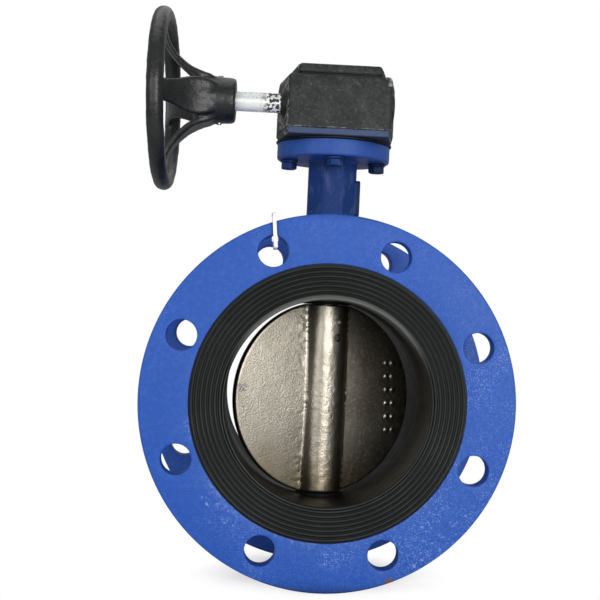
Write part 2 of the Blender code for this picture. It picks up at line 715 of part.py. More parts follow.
for name, radius, x0, x1 in (
    ("worm_bush_outer", INPUT_R, -38 * MM, -17.9 * MM),
    ("worm_bush_inner", JOURNAL_R, 17.9 * MM, 37 * MM),
):
    finish(name, tube(radius + GAP, WORM_BUSH_R, x0, x1, "X"), "bronze", worm_axis)

input_seal = turned([
    (INPUT_R + GAP, -43.8 * MM),
    (8.6 * MM, -43.8 * MM),
    (9.0 * MM, -43.4 * MM),
    (9.0 * MM, -41.8 * MM),
    (WORM_BUSH_R, -41.4 * MM),
    (WORM_BUSH_R, -38.5 * MM),
    (INPUT_R + GAP, -38.5 * MM),
], "X")
finish("input_seal", input_seal, "rubber", worm_axis)

# (radius, x), in mm
END_CAP = [(0, 37.6), (11, 37.6), (11, 43), (10, 44), (0, 44)]
finish("worm_end_cap", turned(mm(END_CAP), "X", steps=24), "cast", worm_axis)

# ---------------------------------------------------------------- travel stops, in the back wall
for name, tip_y in (("open", 9.9 * MM), ("closed", 9.4 * MM)):
    at = STOPS[name]
    stop = rod(3 * MM, tip_y, 59 * MM, "Y", 12, at, bevel=0.5 * MM)
    cut(stop, rod(1.7 * MM, 55 * MM, 62 * MM, "Y", 6, at))
    finish(f"stop_screw_{name}", stop, "steel", operator_frame)
    nut = rod(5.8 * MM, 47.8 * MM, 52.8 * MM, "Y", 6, at, bevel=0.4 * MM)
    cut(nut, rod(3.3 * MM, 40 * MM, 60 * MM, "Y", 12, at))
    finish(f"stop_nut_{name}", nut, "steel", operator_frame)

# ---------------------------------------------------------------- position pointer on the stem
# (radius, z), in mm
POINTER_DIAL = [(0, 259.6), (16, 259.6), (16, 261.8), (15, 262.8), (0, 262.8)]
POINTER_SCREW = [
    (0, 247), (2, 247), (2, 263.1), (4.6, 263.1), (4.6, 265), (3.6, 266), (0, 266),
]
# plan (x, y), in mm
ARROW = [(4, -5), (19, -5), (27, 0), (19, 5), (4, 5)]

pointer = turned(mm(POINTER_DIAL), steps=24)
join(pointer, prism(mm(ARROW), 260 * MM, 262.2 * MM))
cut(pointer, rod(2.8 * MM, 250 * MM, 270 * MM, steps=16))
finish("position_pointer", moved(pointer, disc_turn), "yellow", stem_axis)
finish("pointer_screw", turned(mm(POINTER_SCREW), steps=16), "steel", stem_axis)

# ---------------------------------------------------------------- handwheel, about the worm axis
# One spoke, from hub to rim, in mm: x and radius of the face towards the operator, and half the
# spoke's width there. It is broad at the hub, waisted, and flared at the rim.
SPOKE = [
    (-98, 12, 15.0), (-100, 18.5, 15.5), (-107, 20.4, 15.5), (-113, 23.5, 14.2),
    (-118, 28, 11.8), (-123, 33.3, 9.8), (-128, 40.2, 8.8), (-131.5, 47.5, 9.0),
    (-133, 54, 10.4), (-134, 61, 13.0),
]
SPOKE_T = 5.0
SPOKE_FAR_ROOT = (-102, 9)  # (x, radius) where the far face starts, inside the hub
SPOKE_FAR_LIMIT = -138.5  # the far face goes no further out along x
SPOKE_UNEVEN = 0.07  # each spoke is this much wider and further along x than the last
RUNOUT_CENTRE = Matrix.Translation((-100 * MM, 0, 0))


def spoke_far_face():
    """(x, radius) points one thickness behind the near face, square to its slope."""
    far = [SPOKE_FAR_ROOT]
    for i in range(1, len(SPOKE)):
        x, radius, _ = SPOKE[i]
        x0, radius0, _ = SPOKE[i - 1]
        x1, radius1, _ = SPOKE[min(i + 1, len(SPOKE) - 1)]
        dx, dr = x1 - x0, radius1 - radius0
        length = math.hypot(dx, dr)
        far.append((max(x - SPOKE_T * dr / length, SPOKE_FAR_LIMIT),
                    radius + SPOKE_T * dx / length))
    return far


def spoke(turn, uneven):
    rows = []
    for (near_x, near_r, half_width), (far_x, far_r) in zip(SPOKE, spoke_far_face()):
        half = half_width + uneven
        corners = ((near_x, -half, near_r), (near_x, half, near_r),
                   (far_x, half, far_r), (far_x, -half, far_r))
        rows.append([((x + uneven) * MM, y * MM, z * MM) for x, y, z in corners])
    return lofted(rows, Matrix.Rotation(turn, 4, "X"))


wheel = torus(WHEEL_RIM_R, WHEEL_RIM_TUBE, WHEEL_RIM_X, sides=8, axis="X", steps=36)
# no two spokes are quite alike, so that their faces cross cleanly near the hub
join(wheel, *[spoke(math.pi / 2 * i, SPOKE_UNEVEN * i) for i in range(4)])
# the rim runs slightly out of true with its hub
runout = Matrix.Rotation(math.radians(-0.9), 4, "Z") @ Matrix.Rotation(math.radians(-1.4), 4, "Y")
moved(wheel, RUNOUT_CENTRE @ runout @ RUNOUT_CENTRE.inverted())
join(wheel, turned([
    (0, HUB_X0),
    (HUB_R - 1 * MM, HUB_X0),
    (HUB_R + 1.2 * MM, HUB_X0 + 3 * MM),
    (HUB_R, HUB_X1 - 4 * MM),
    (HUB_R - 3 * MM, HUB_X1),
    (0, HUB_X1),
], "X", steps=24))
cut(wheel,
    rod(INPUT_R + GAP, -125 * MM, -70 * MM, "X"),
    rod(2.3 * MM, -30 * MM, 30 * MM, steps=12, at=(WHEEL_PIN_X, 0, 0)))
finish("handwheel", wheel, "black", worm_axis)

roll_pin = rod(1.95 * MM, -19 * MM, 19 * MM, steps=12, at=(WHEEL_PIN_X, 0, 0), bevel=0.4 * MM)
finish("handwheel_pin", roll_pin, "steel", worm_axis)

# ---------------------------------------------------------------- nylon tie, upper left
TIE_LEAN = math.radians(-2.6)  # the loop stands this far off upright
TIE_FOOT = (-44.4 * MM, 0, 113.6 * MM)  # where it comes out of the hole
TIE_REACH = 26 * MM  # from the hole out past the flange edge
TIE_FRONT_Y = -72 * MM
TIE_BACK_Y = -51.4 * MM
TIE_CORNER = 1.6 * MM
TIE_HALF_T = 0.55 * MM
TIE_HALF_WIDTH = 1.6 * MM
TIE_MITRE = 0.41  # sideways part of the offset at a corner, so the strip keeps its thickness


def tie():
    """A flat strip looped through one bolt hole and round the front flange's edge."""
    path = rectangle((0, TIE_FRONT_Y), (TIE_REACH, TIE_BACK_Y), TIE_CORNER)  # (height, y)
    rows = []
    for height, y in path:
        out_z = 1 if height > TIE_REACH / 2 else -1
        out_y = 1 if y > (TIE_FRONT_Y + TIE_BACK_Y) / 2 else -1
        if y in (TIE_FRONT_Y, TIE_BACK_Y):
            out_z *= TIE_MITRE
        else:
            out_y *= TIE_MITRE
        rows.append([
            (side * TIE_HALF_WIDTH, y + skin * TIE_HALF_T * out_y,
             height + skin * TIE_HALF_T * out_z)
            for side, skin in ((-1, -1), (1, -1), (1, 1), (-1, 1))])
    stand = Matrix.Translation(TIE_FOOT) @ Matrix.Rotation(TIE_LEAN, 4, "Y")
    return lofted(rows, stand, closed=True)


finish("tag_tie", tie(), "nylon", valve_frame)
bpy.context.view_layer.update()
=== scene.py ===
"""A DN150 double-flanged butterfly valve with a worm-gear operator and handwheel.

The bore runs along Y, with the front flange towards -Y, and the stem stands along Z. The input
shaft and handwheel reach out towards -X. Shapes are laid out in millimetres about the point where
the bore and stem axes cross, then placed in metres. Materials work in metres.
"""
import math

import bmesh
import bpy
from mathutils import Matrix, Vector, noise


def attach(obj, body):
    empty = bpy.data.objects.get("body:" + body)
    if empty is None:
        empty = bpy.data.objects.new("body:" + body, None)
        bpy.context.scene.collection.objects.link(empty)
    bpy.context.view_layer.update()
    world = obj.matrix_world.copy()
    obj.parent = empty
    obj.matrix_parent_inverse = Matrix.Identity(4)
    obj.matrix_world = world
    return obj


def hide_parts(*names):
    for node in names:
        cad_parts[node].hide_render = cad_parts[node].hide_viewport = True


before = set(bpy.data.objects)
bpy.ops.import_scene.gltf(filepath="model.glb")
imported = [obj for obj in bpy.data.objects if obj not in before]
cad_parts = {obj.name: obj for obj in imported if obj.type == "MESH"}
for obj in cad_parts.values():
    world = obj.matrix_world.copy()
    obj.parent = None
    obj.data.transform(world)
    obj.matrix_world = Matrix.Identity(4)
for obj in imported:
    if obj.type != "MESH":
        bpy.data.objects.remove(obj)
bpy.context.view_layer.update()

MM = 0.001
BORE_Z = 128.0                      # height of the bore axis in the frame
OPERATOR_YAW = math.radians(-1.5)   # the operator sits slightly askew on the flange
DISC_TURN = math.radians(22.0)
WORM_DROP = 33.0                    # worm axis to stem axis, towards -Y
WORM_Z = 228.0

VALVE = Matrix.Translation((0, 0, BORE_Z * MM)) @ Matrix.Diagonal((MM, MM, MM, 1))
STEM = VALVE @ Matrix.Rotation(DISC_TURN, 4, "Z")
OPERATOR = VALVE @ Matrix.Rotation(OPERATOR_YAW, 4, "Z")
WORM = OPERATOR @ Matrix.Translation((0, -WORM_DROP, WORM_Z))

BODY, TRAIN, WHEEL = "body_assembly", "stem_train", "handwheel_train"


# ================================================================ outlines
def rounded(points, radii, n=4):
    """A closed polygon with its corners rounded; radii is one number or one for each corner."""
    out = []
    for i, (x, y) in enumerate(points):
        radius = radii[i] if isinstance(radii, (list, tuple)) else radii
        last_x, last_y = points[i - 1]
        next_x, next_y = points[(i + 1) % len(points)]
        ax, ay, bx, by = last_x - x, last_y - y, next_x - x, next_y - y
        len_a, len_b = math.hypot(ax, ay), math.hypot(bx, by)
        ax, ay, bx, by = ax / len_a, ay / len_a, bx / len_b, by / len_b
        corner = math.acos(max(-1.0, min(1.0, ax * bx + ay * by)))
        if radius <= 0 or corner > math.pi - 0.02:
            out.append((x, y))
            continue
        cut_back = min(radius / math.tan(corner / 2), 0.48 * len_a, 0.48 * len_b)
        fitted = cut_back * math.tan(corner / 2)
        mid_x, mid_y = ax + bx, ay + by
        len_mid = math.hypot(mid_x, mid_y)
        to_centre = cut_back / math.cos(corner / 2)
        cx, cy = x + mid_x / len_mid * to_centre, y + mid_y / len_mid * to_centre
        start = math.atan2(y + ay * cut_back - cy, x + ax * cut_back - cx)
        end = math.atan2(y + by * cut_back - cy, x + bx * cut_back - cx)
        sweep = (end - start + math.pi) % (2 * math.pi) - math.pi
        for k in range(n + 1):
            a = start + sweep * k / n
            out.append((cx + fitted * math.cos(a), cy + fitted * math.sin(a)))
    return out


def inset(points, d):
    """A counter-clockwise polygon moved inwards by d along each edge's normal."""
    lines = []
    for (x0, y0), (x1, y1) in zip(points, points[1:] + points[:1]):
        dx, dy = x1 - x0, y1 - y0
        length = math.hypot(dx, dy)
        lines.append((x0 - dy / length * d, y0 + dx / length * d, dx, dy))
    out = []
    for i in range(len(points)):
        ax, ay, adx, ady = lines[i - 1]
        bx, by, bdx, bdy = lines[i]
        t = ((bx - ax) * bdy - (by - ay) * bdx) / (adx * bdy - ady * bdx)
        out.append((ax + adx * t, ay + ady * t))
    return out


def polygon(sides, r, phase=0.0):
    angles = [phase + 2 * math.pi * i / sides for i in range(sides)]
    return [(r * math.cos(a), r * math.sin(a)) for a in angles]


def mirrored(half):
    """A (radius, height) profile carried on through its own mirror image below height 0."""
    return half + [(r, -h) for r, h in reversed(half)]


def graded(start, spans):
    """Rising values from start; each (stop, step) carries them on until stop is reached."""
    out = []
    value = start
    for stop, step in spans:
        while value < stop:
            out.append(value)
            value += step
    return out


# ================================================================ solids
# Each turns a shape laid out along Z to another axis.
AXES = {
    "Z": Matrix.Identity(4),
    "Y": Matrix(((1, 0, 0, 0), (0, 0, 1, 0), (0, -1, 0, 0), (0, 0, 0, 1))),
    "X": Matrix(((0, 0, 1, 0), (1, 0, 0, 0), (0, 1, 0, 0), (0, 0, 0, 1))),
}


def linked(me):
    """An object in the scene for a closed mesh, its faces turned outwards."""
    bm = bmesh.new()
    bm.from_mesh(me)
    volume = bm.calc_volume(signed=True)
    bm.free()
    if volume < 0:
        me.flip_normals()
    ob = bpy.data.objects.new("part", me)
    bpy.context.scene.collection.objects.link(ob)
    return ob


def from_bmesh(bm):
    me = bpy.data.meshes.new("part")
    bm.to_mesh(me)
    bm.free()
    return linked(me)


def cleaned(bm):
    bmesh.ops.remove_doubles(bm, verts=bm.verts, dist=1e-4)
    bmesh.ops.recalc_face_normals(bm, faces=bm.faces)
    return from_bmesh(bm)


def turned(profile, axis="Z", steps=48, at=(0, 0, 0), phase=0.0):
    """A closed profile of (radius, height) points turned a full circle about an axis."""
    bm = bmesh.new()
    pts = [bm.verts.new((r * math.cos(phase), r * math.sin(phase), h)) for r, h in profile]
    edges = []
    for a, b in zip(pts, pts[1:] + pts[:1]):
        if math.hypot(a.co.x, a.co.y) < 1e-6 and math.hypot(b.co.x, b.co.y) < 1e-6:
            continue
        edges.append(bm.edges.new((a, b)))
    bmesh.ops.spin(
        bm, geom=pts + edges, cent=(0, 0, 0), axis=(0, 0, 1), dvec=(0, 0, 0),
        angle=2 * math.pi, steps=steps, use_merge=True, use_duplicate=False,
    )
    bmesh.ops.transform(bm, matrix=Matrix.Translation(at) @ AXES[axis], verts=bm.verts)
    return cleaned(bm)


def rod(r, low, high, axis="Z", steps=32, at=(0, 0, 0), edge=0.0, phase=0.0):
    """A round bar, with its end edges rounded by edge."""
    profile = [(0, low), (r, low), (r, high), (0, high)]
    if edge:
        profile = rounded(profile, [0, edge, edge, 0], 3)
    return turned(profile, axis, steps, at, phase)


def tube(inner, outer, low, high, steps, edge, at=(0, 0, 0)):
    profile = [(inner, low), (outer, low), (outer, high), (inner, high)]
    return turned(rounded(profile, edge, 2), "Z", steps, at)


def loft(rings, axis="Z", at=(0, 0, 0)):
    """Rings of (x, y, z) points, all with the same number of points, joined and capped."""
    bm = bmesh.new()
    rows = [[bm.verts.new(p) for p in ring] for ring in rings]
    n = len(rows[0])
    bm.faces.new(rows[0][::-1])
    bm.faces.new(rows[-1])
    for low, high in zip(rows, rows[1:]):
        for i in range(n):
            bm.faces.new((low[i], low[(i + 1) % n], high[(i + 1) % n], high[i]))
    bmesh.ops.transform(bm, matrix=Matrix.Translation(at) @ AXES[axis], verts=bm.verts)
    return cleaned(bm)


def prism(points, low, high, at=(0, 0, 0)):
    return loft([[(x, y, h) for x, y in points] for h in (low, high)], at=at)


def plan_loft(points, radius, steps, n=4, axis="Z", at=(0, 0, 0)):
    """A plan outline with rounded corners carried up through (height, inset) steps."""
    rings = []
    for h, d in steps:
        ring = rounded(inset(points, d), max(radius - d, 0.35), n)
        rings.append([(x, y, h) for x, y in ring])
    return loft(rings, axis, at)


def block(low, high, corner=0.0):
    (x0, y0, z0), (x1, y1, z1) = low, high
    points = [(x0, y0), (x1, y0), (x1, y1), (x0, y1)]
    if corner:
        points = rounded(points, corner, 3)
    return prism(points, z0, z1)


def gathered(obs):
    """Several bodies put in one mesh, such as cutters that don't touch."""
    bm = bmesh.new()
    for ob in obs:
        bm.from_mesh(ob.data)
        bpy.data.objects.remove(ob, do_unlink=True)
    return from_bmesh(bm)


def drills(points, r, low, high, steps, phase=0.05):
    """Upright bars at several (x, y) points, in one mesh."""
    return gathered([rod(r, low, high, "Z", steps, (x, y, 0), phase=phase) for x, y in points])


def stem_bores(r, spans, steps, phase):
    """Bars on the stem axis, one for each (low, high) span, in one mesh."""
    return gathered([rod(r, low, high, steps=steps, phase=phase) for low, high in spans])


def baked(ob):
    bpy.context.view_layer.update()
    graph = bpy.context.evaluated_depsgraph_get()
    me = bpy.data.meshes.new_from_object(ob.evaluated_get(graph))
    ob.modifiers.clear()
    ob.data = me


def combined(ob, others, how):
    for other in others:
        mod = ob.modifiers.new(how.title(), "BOOLEAN")
        mod.operation = how
        mod.solver = "EXACT"
        mod.object = other
        baked(ob)
        bpy.data.objects.remove(other, do_unlink=True)


def cut(ob, *others):
    combined(ob, others, "DIFFERENCE")


def join(ob, *others):
    combined(ob, others, "UNION")


def moved(ob, matrix):
    ob.data.transform(matrix)
    return ob


def rough(ob, amount, size, seed, octaves):
    """Moves each vertex along its normal by smooth noise, for an uneven casting."""
    me = ob.data
    normals = [v.normal.copy() for v in me.vertices]
    shift = Vector((seed, seed * 1.7, seed * 0.6))
    for vert, normal in zip(me.vertices, normals):
        height = 0.0
        weight = 1.0
        p = vert.co / size + shift
        for _ in range(octaves):
            height += weight * noise.noise(p)
            p = p * 2.1
            weight *= 0.5
        vert.co += normal * (height * amount)
    me.update()


def piece(ob, name, node, body, finish, placed, angle=32):
    """Puts a finished mesh in its place, gives it its finish and ties it to its body."""
    slot, material = finish
    ob.data.transform(placed)
    ob.name = name
    ob.data.name = name
    ob.data.materials.clear()
    ob.data.materials.append(material)
    ob.data.shade_smooth()
    ob.data.set_sharp_from_angle(angle=math.radians(angle))
    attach(ob, body)
    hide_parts(node)


# ================================================================ shader nodes
def put(tree, socket, value):
    """Links a socket, or sets its value; a three-part colour gets an alpha of 1."""
    if isinstance(value, bpy.types.NodeSocket):
        tree.links.new(value, socket)
    elif isinstance(value, (tuple, list)) and len(value) == 3 and len(socket.default_value) == 4:
        socket.default_value = (*value, 1.0)
    else:
        socket.default_value = value


def add_node(tree, kind, inputs=(), **settings):
    """A new shader node with its settings, and its inputs filled by name or number."""
    made = tree.nodes.new("ShaderNode" + kind)
    for key, value in settings.items():
        setattr(made, key, value)
    for key, value in dict(inputs).items():
        put(tree, made.inputs[key], value)
    return made


class Finish:
    """Builds one node material, holding the colour and the normal reached so far."""

    def __init__(self, name):
        self.material = bpy.data.materials.new(name)
        self.material.use_nodes = True
        self.tree = self.material.node_tree
        self.tree.nodes.clear()
        self.out = self.node("OutputMaterial")
        self.shader = self.node("BsdfPrincipled")
        put(self.tree, self.out.inputs[0], self.shader.outputs[0])
        self.co = self.node("TexCoord").outputs["Object"]
        self.normal = None

    def node(self, kind, inputs=(), **settings):
        return add_node(self.tree, kind, inputs, **settings)

    def parts(self, vector):
        """The x, y and z of a vector."""
        return self.node("SeparateXYZ", {0: vector}).outputs

    def math(self, op, a, b=0.0, c=0.0, clamp=False):
        inputs = enumerate((a, b, c))
        return self.node("Math", inputs, operation=op, use_clamp=clamp).outputs[0]

    def mul(self, product, *factors):
        for factor in factors:
            product = self.math("MULTIPLY", product, factor)
        return product

    def add(self, a, b):
        return self.math("ADD", a, b)

    def sub(self, a, b):
        return self.math("SUBTRACT", a, b)

    def linear(self, value, gain, base):
        return self.math("MULTIPLY_ADD", value, gain, base)

    def length(self, a, b):
        return self.math("SQRT", self.add(self.mul(a, a), self.mul(b, b)))

    def radial(self, x, z):
        """Distance from the bore axis, in metres."""
        return self.length(x, self.sub(z, BORE_Z * MM))

    def noise(self, scale, detail=3.0, rough=0.55, co=None):
        return self.node("TexNoise", {
            "Vector": co or self.co, "Scale": scale, "Detail": detail, "Roughness": rough,
        }).outputs[0]

    def cells(self, scale):
        """Distance to the nearest of many scattered points."""
        inputs = {"Vector": self.co, "Scale": scale}
        return self.node("TexVoronoi", inputs).outputs["Distance"]

    def stretched(self, x=1.0, y=1.0, z=1.0, turn=(0, 0, 0)):
        inputs = {"Vector": self.co, "Scale": (x, y, z), "Rotation": turn}
        return self.node("Mapping", inputs).outputs[0]

    def step(self, value, low, high, to_low=0.0, to_high=1.0):
        """Smooth step of value from low to high."""
        inputs = enumerate((value, low, high, to_low, to_high))
        return self.node("MapRange", inputs, interpolation_type="SMOOTHSTEP").outputs[0]

    def patches(self, low, high, **noise_args):
        """Noise sharpened into patches by a smooth step."""
        return self.step(self.noise(**noise_args), low, high)

    def near(self, point, radius, ragged, scale):
        """1 within radius of a point, with a ragged edge, 0 outside."""
        measure = self.node("VectorMath", {0: self.co, 1: point}, operation="DISTANCE")
        spread = self.sub(self.noise(scale, detail=2.0), 0.5)
        wobble = self.mul(spread, radius * ragged * 4)
        distance = self.add(measure.outputs["Value"], wobble)
        return self.step(distance, radius * 1.1, radius * 0.8)

    def edges(self, radius, gain):
        """Near 1 on convex and concave edges, where a finish wears or collects dirt."""
        bevel = self.node("Bevel", {"Radius": radius}, samples=4).outputs[0]
        normal = self.node("NewGeometry").outputs["Normal"]
        dot = self.node("VectorMath", {0: bevel, 1: normal}, operation="DOT_PRODUCT")
        return self.math("MULTIPLY", self.sub(1.0, dot.outputs["Value"]), gain, clamp=True)

    def mix(self, factor, a, b):
        inputs = {0: factor, 6: a, 7: b}
        return self.node("Mix", inputs, data_type="RGBA", clamp_factor=True).outputs[2]

    def layer(self, colour, *masks, strength=None):
        """Lays a colour over the colour so far, as much as the product of the masks."""
        mask = self.mul(*masks)
        if strength is not None:
            mask = self.mul(mask, strength)
        self.colour = self.mix(mask, self.colour, colour)

    def bump(self, distance, strength, **noise_args):
        """Adds noise relief to the normal so far."""
        inputs = {"Height": self.noise(**noise_args), "Distance": distance, "Strength": strength}
        if self.normal is not None:
            inputs["Normal"] = self.normal
        self.normal = self.node("Bump", inputs).outputs[0]

    def done(self, rough, view, metal=0.0, **more):
        """Feeds the shader; view is the colour in the solid viewport."""
        inputs = {"Base Color": self.colour, "Roughness": rough, "Metallic": metal}
        if self.normal is not None:
            inputs["Normal"] = self.normal
        inputs.update({key.replace("_", " "): value for key, value in more.items()})
        for key, value in inputs.items():
            put(self.tree, self.shader.inputs[key], value)
        self.material.diffuse_color = (*view, 1.0)
        return self.material


# ================================================================ materials
def blue_epoxy():
    f = Finish("blue_epoxy")
    x, y, z = f.parts(f.co)
    broad = f.noise(scale=14)
    f.colour = f.mix(broad, (0.012, 0.078, 0.395), (0.020, 0.097, 0.450))
    f.layer((0.050, 0.135, 0.50), f.step(f.noise(scale=260), low=0.40, high=0.75, to_high=0.35))
    # fine pale specks in the powder coat, thicker towards the lower right
    dense = f.patches(scale=22, low=0.42, high=0.62)
    lower_right = f.step(f.sub(f.add(x, 0.10), z), low=-0.06, high=0.10)
    dots = f.patches(scale=1450, detail=1, rough=0.5, low=0.575, high=0.655)
    amount = f.mul(f.linear(dense, gain=0.34, base=0.10),
                   f.linear(lower_right, gain=0.85, base=0.26))
    f.layer((0.30, 0.44, 0.82), dots, amount)
    # larger specks
    f.layer((0.50, 0.62, 0.90),
            f.step(f.cells(scale=260), low=0.13, high=0.07),
            f.patches(scale=30, detail=2, low=0.52, high=0.60),
            f.linear(lower_right, gain=0.22, base=0.05))
    # scuffs on the front face close round the seat
    f.layer((0.36, 0.50, 0.84),
            f.step(f.radial(x, z), low=0.1105, high=0.1045),
            f.step(f.add(x, z), low=0.060, high=0.020),
            f.patches(scale=60, low=0.40, high=0.60),
            f.patches(scale=620, detail=4, rough=0.7, low=0.46, high=0.62),
            f.step(y, low=-0.068, high=-0.069), strength=0.28)
    # worn edges, with a painted highlight along the lower right edges
    f.layer((0.30, 0.44, 0.80), f.edges(radius=0.0016, gain=4.0), lower_right,
            f.patches(scale=120, detail=4, rough=0.6, low=0.40, high=0.58), strength=0.60)
    # faint scratches
    scratches = [f.patches(scale=scale, detail=4, rough=0.6, co=co, low=0.70, high=0.76)
                 for scale, co in ((60, f.stretched(z=9, turn=(0, 0.5, 0))),
                                   (90, f.stretched(x=12, turn=(0, 0.3, 0))))]
    f.layer((0.25, 0.36, 0.68), f.math("MAXIMUM", *scratches), strength=0.20)
    # handling marks low on the front flange, and one chip on its edge
    right_mark = f.mul(
        f.near((0.088, -0.070, 0.022), radius=0.022, ragged=0.8, scale=120),
        f.patches(scale=240, detail=5, rough=0.7, co=f.stretched(z=1.6, turn=(0, -0.6, 0)),
                  low=0.56, high=0.66))
    left_mark = f.mul(
        f.near((-0.076, -0.070, 0.050), radius=0.014, ragged=0.8, scale=120),
        f.patches(scale=260, detail=5, rough=0.7, low=0.56, high=0.66))
    f.layer((0.45, 0.54, 0.78), f.add(right_mark, left_mark), strength=0.45)
    f.layer((0.16, 0.085, 0.05),
            f.near((0.0515, -0.0695, -0.0025), radius=0.0032, ragged=0.7, scale=700))
    # the neck and the underside of the top flange are darkened with painted shade, and carry more
    # dust
    neck = f.mul(f.step(z, low=0.262, high=0.278), f.step(z, low=0.3170, high=0.3145))
    f.layer((0.0098, 0.0200, 0.068), neck, strength=0.72)
    f.layer((0.13, 0.165, 0.27),
            f.patches(scale=150, detail=5, rough=0.65, co=f.stretched(z=0.45),
                      low=0.50, high=0.70), f.mul(neck, 0.30))
    # painted shade on the cast pad on the side of the neck
    f.layer((0.010, 0.018, 0.048), f.step(x, low=0.0185, high=0.0195), neck, strength=0.75)
    # the flange above the neck is a shade duller than the body
    f.layer((0.030, 0.066, 0.235), f.step(z, low=0.3145, high=0.3170), strength=0.45)
    # pale streaks down the neck
    f.layer((0.42, 0.47, 0.60),
            f.patches(scale=330, rough=0.6, co=f.stretched(1.2, 1.2, 0.16), low=0.66, high=0.72),
            f.mul(neck, 0.5))
    # painted shade: the coat is darkened almost to black down in the holes and under the flange,
    # where it is closed in
    openness = f.node("AmbientOcclusion", {"Distance": 0.016}, samples=6).outputs["AO"]
    f.layer((0.006, 0.016, 0.070), f.step(openness, low=0.80, high=0.45), strength=0.80)
    f.bump(distance=0.00022, strength=0.55, scale=190, detail=2)
    f.bump(distance=0.00008, strength=0.6, scale=900, detail=2)
    return f.done(f.linear(broad, gain=0.18, base=0.36), view=(0.03, 0.09, 0.42),
                  Specular_IOR_Level=f.linear(neck, gain=-0.16, base=0.24))


def shade_seat(f):
    """Paints shade into the rib grooves and the bore, light onto the bore's roof and lip, and
    gives the shine.
    """
    x, y, z = f.parts(f.co)
    radial = f.radial(x, z)
    away = f.math("ABSOLUTE", y)

    def in_bore():
        return f.step(radial, low=0.0800, high=0.0790)

    # painted shade in the rib grooves on the face; the crests keep the colour
    crest = f.step(away, low=0.0703, high=0.07092)
    on_face = f.step(away, low=0.0685, high=0.0690)
    f.layer((0.003, 0.0035, 0.003), on_face, f.sub(1.0, crest))
    # painted shade down the bore, held back on its roof
    bore = f.mul(in_bore(), f.step(away, low=0.0690, high=0.0680))
    roof = f.mul(f.step(z, low=0.165, high=0.197), f.step(y, low=-0.035, high=-0.050))
    bore = f.mul(bore, f.linear(roof, gain=-0.92, base=1.0))
    f.layer((0.0030, 0.0034, 0.0030), bore, strength=0.90)
    # painted light on the bore's roof
    f.layer((0.105, 0.112, 0.105), roof, in_bore())
    # painted light on the upper part of the front lip
    f.layer((0.135, 0.142, 0.132), f.step(z, low=0.150, high=0.198),
            f.step(radial, low=0.0806, high=0.0797), f.step(y, low=-0.058, high=-0.066))
    # painted shade behind the middle of the bore
    deep = f.mul(in_bore(), f.step(y, low=-0.004, high=0.012))
    f.layer((0.0012, 0.0012, 0.0011), deep, strength=0.85)
    return f.math("SUBTRACT", f.linear(bore, gain=-0.20, base=0.26), f.mul(deep, 0.05),
                  clamp=True)


def rubber(name, base, rough_at, dusty):
    f = Finish(name)
    f.colour = f.mix(f.patches(scale=30, detail=4, low=0.35, high=0.75),
                     (base * 0.84, base * 0.99, base * 0.96),
                     (base * 1.32, base * 1.56, base * 1.48))
    f.layer((0.085, 0.088, 0.08),
            f.patches(scale=240, detail=5, rough=0.68, low=0.60, high=0.80), strength=dusty)
    shine = shade_seat(f) if name == "seat_rubber" else 0.26
    # pale spots
    f.layer((0.16, 0.16, 0.15), f.step(f.cells(scale=420), low=0.12, high=0.06),
            f.patches(scale=55, detail=2, low=0.56, high=0.66), strength=0.45)
    f.bump(distance=0.00005, strength=0.5, scale=420)
    f.bump(distance=0.0003, strength=0.35, scale=70, detail=2)
    return f.done(f.linear(f.noise(scale=90, detail=4), gain=0.22, base=rough_at - 0.11),
                  view=(0.03, 0.03, 0.03), Specular_IOR_Level=shine)


def nickel_cast():
    f = Finish("nickel_cast")
    x, _, z = f.parts(f.co)
    f.colour = f.mix(f.patches(scale=26, detail=4, rough=0.6, low=0.35, high=0.70),
                     (0.345, 0.315, 0.255), (0.43, 0.398, 0.335))
    grain = f.noise(scale=780, rough=0.6)
    f.layer((0.19, 0.172, 0.132), f.step(grain, low=0.34, high=0.50, to_low=0.28, to_high=0.0))
    # painted shade: the plate left of the hub is dimmed a little
    f.layer((0.03, 0.027, 0.020), f.step(x, low=-0.0145, high=-0.0175), strength=0.20)
    # brown stain low on the disc, and over its right side
    f.layer((0.235, 0.185, 0.115),
            f.step(f.add(z, f.mul(f.noise(scale=40), 0.014)), low=0.108, high=0.064),
            strength=0.62)
    f.layer((0.26, 0.205, 0.13), f.step(z, low=0.090, high=0.066),
            f.patches(scale=34, detail=2, low=0.38, high=0.66), strength=0.40)
    f.layer((0.29, 0.25, 0.185), f.step(x, low=0.012, high=0.035),
            f.patches(scale=70, detail=4, low=0.35, high=0.7), strength=0.5)
    # painted highlights on the pebbled grain on the right
    f.layer((0.80, 0.72, 0.56), f.step(x, low=0.016, high=0.026),
            f.patches(scale=430, rough=0.6, low=0.50, high=0.64), strength=0.34)
    # a short ink-like scribble near the left edge
    f.layer((0.05, 0.04, 0.07),
            f.near((-0.0645, -0.0315, 0.1344), radius=0.0040, ragged=0.6, scale=500),
            f.patches(scale=1100, detail=2, rough=0.5, co=f.stretched(z=2), low=0.46, high=0.52),
            strength=0.75)
    f.bump(distance=0.00034, strength=0.44, scale=760, detail=2, rough=0.5)
    f.bump(distance=0.00032, strength=0.12, scale=300, detail=2, rough=0.5)
    f.bump(distance=0.0004, strength=0.08, scale=95, detail=2)
    return f.done(f.linear(f.noise(scale=160), gain=0.12, base=0.29),
                  metal=1.0, view=(0.4, 0.37, 0.31))


def steel(name, colour=(0.50, 0.50, 0.49), rough_at=0.34):
    f = Finish(name)
    f.colour = f.mix(f.noise(scale=70, detail=4), tuple(v * 0.82 for v in colour),
                     tuple(min(1.0, v * 1.12) for v in colour))
    f.layer(tuple(v * 0.4 for v in colour),
            f.patches(scale=700, rough=0.6, low=0.62, high=0.72), strength=0.4)
    f.bump(distance=0.00005, strength=0.5, scale=420, rough=0.6, co=f.stretched(z=6))
    return f.done(f.linear(f.noise(scale=120), gain=0.2, base=rough_at - 0.1),
                  metal=1.0, view=colour)


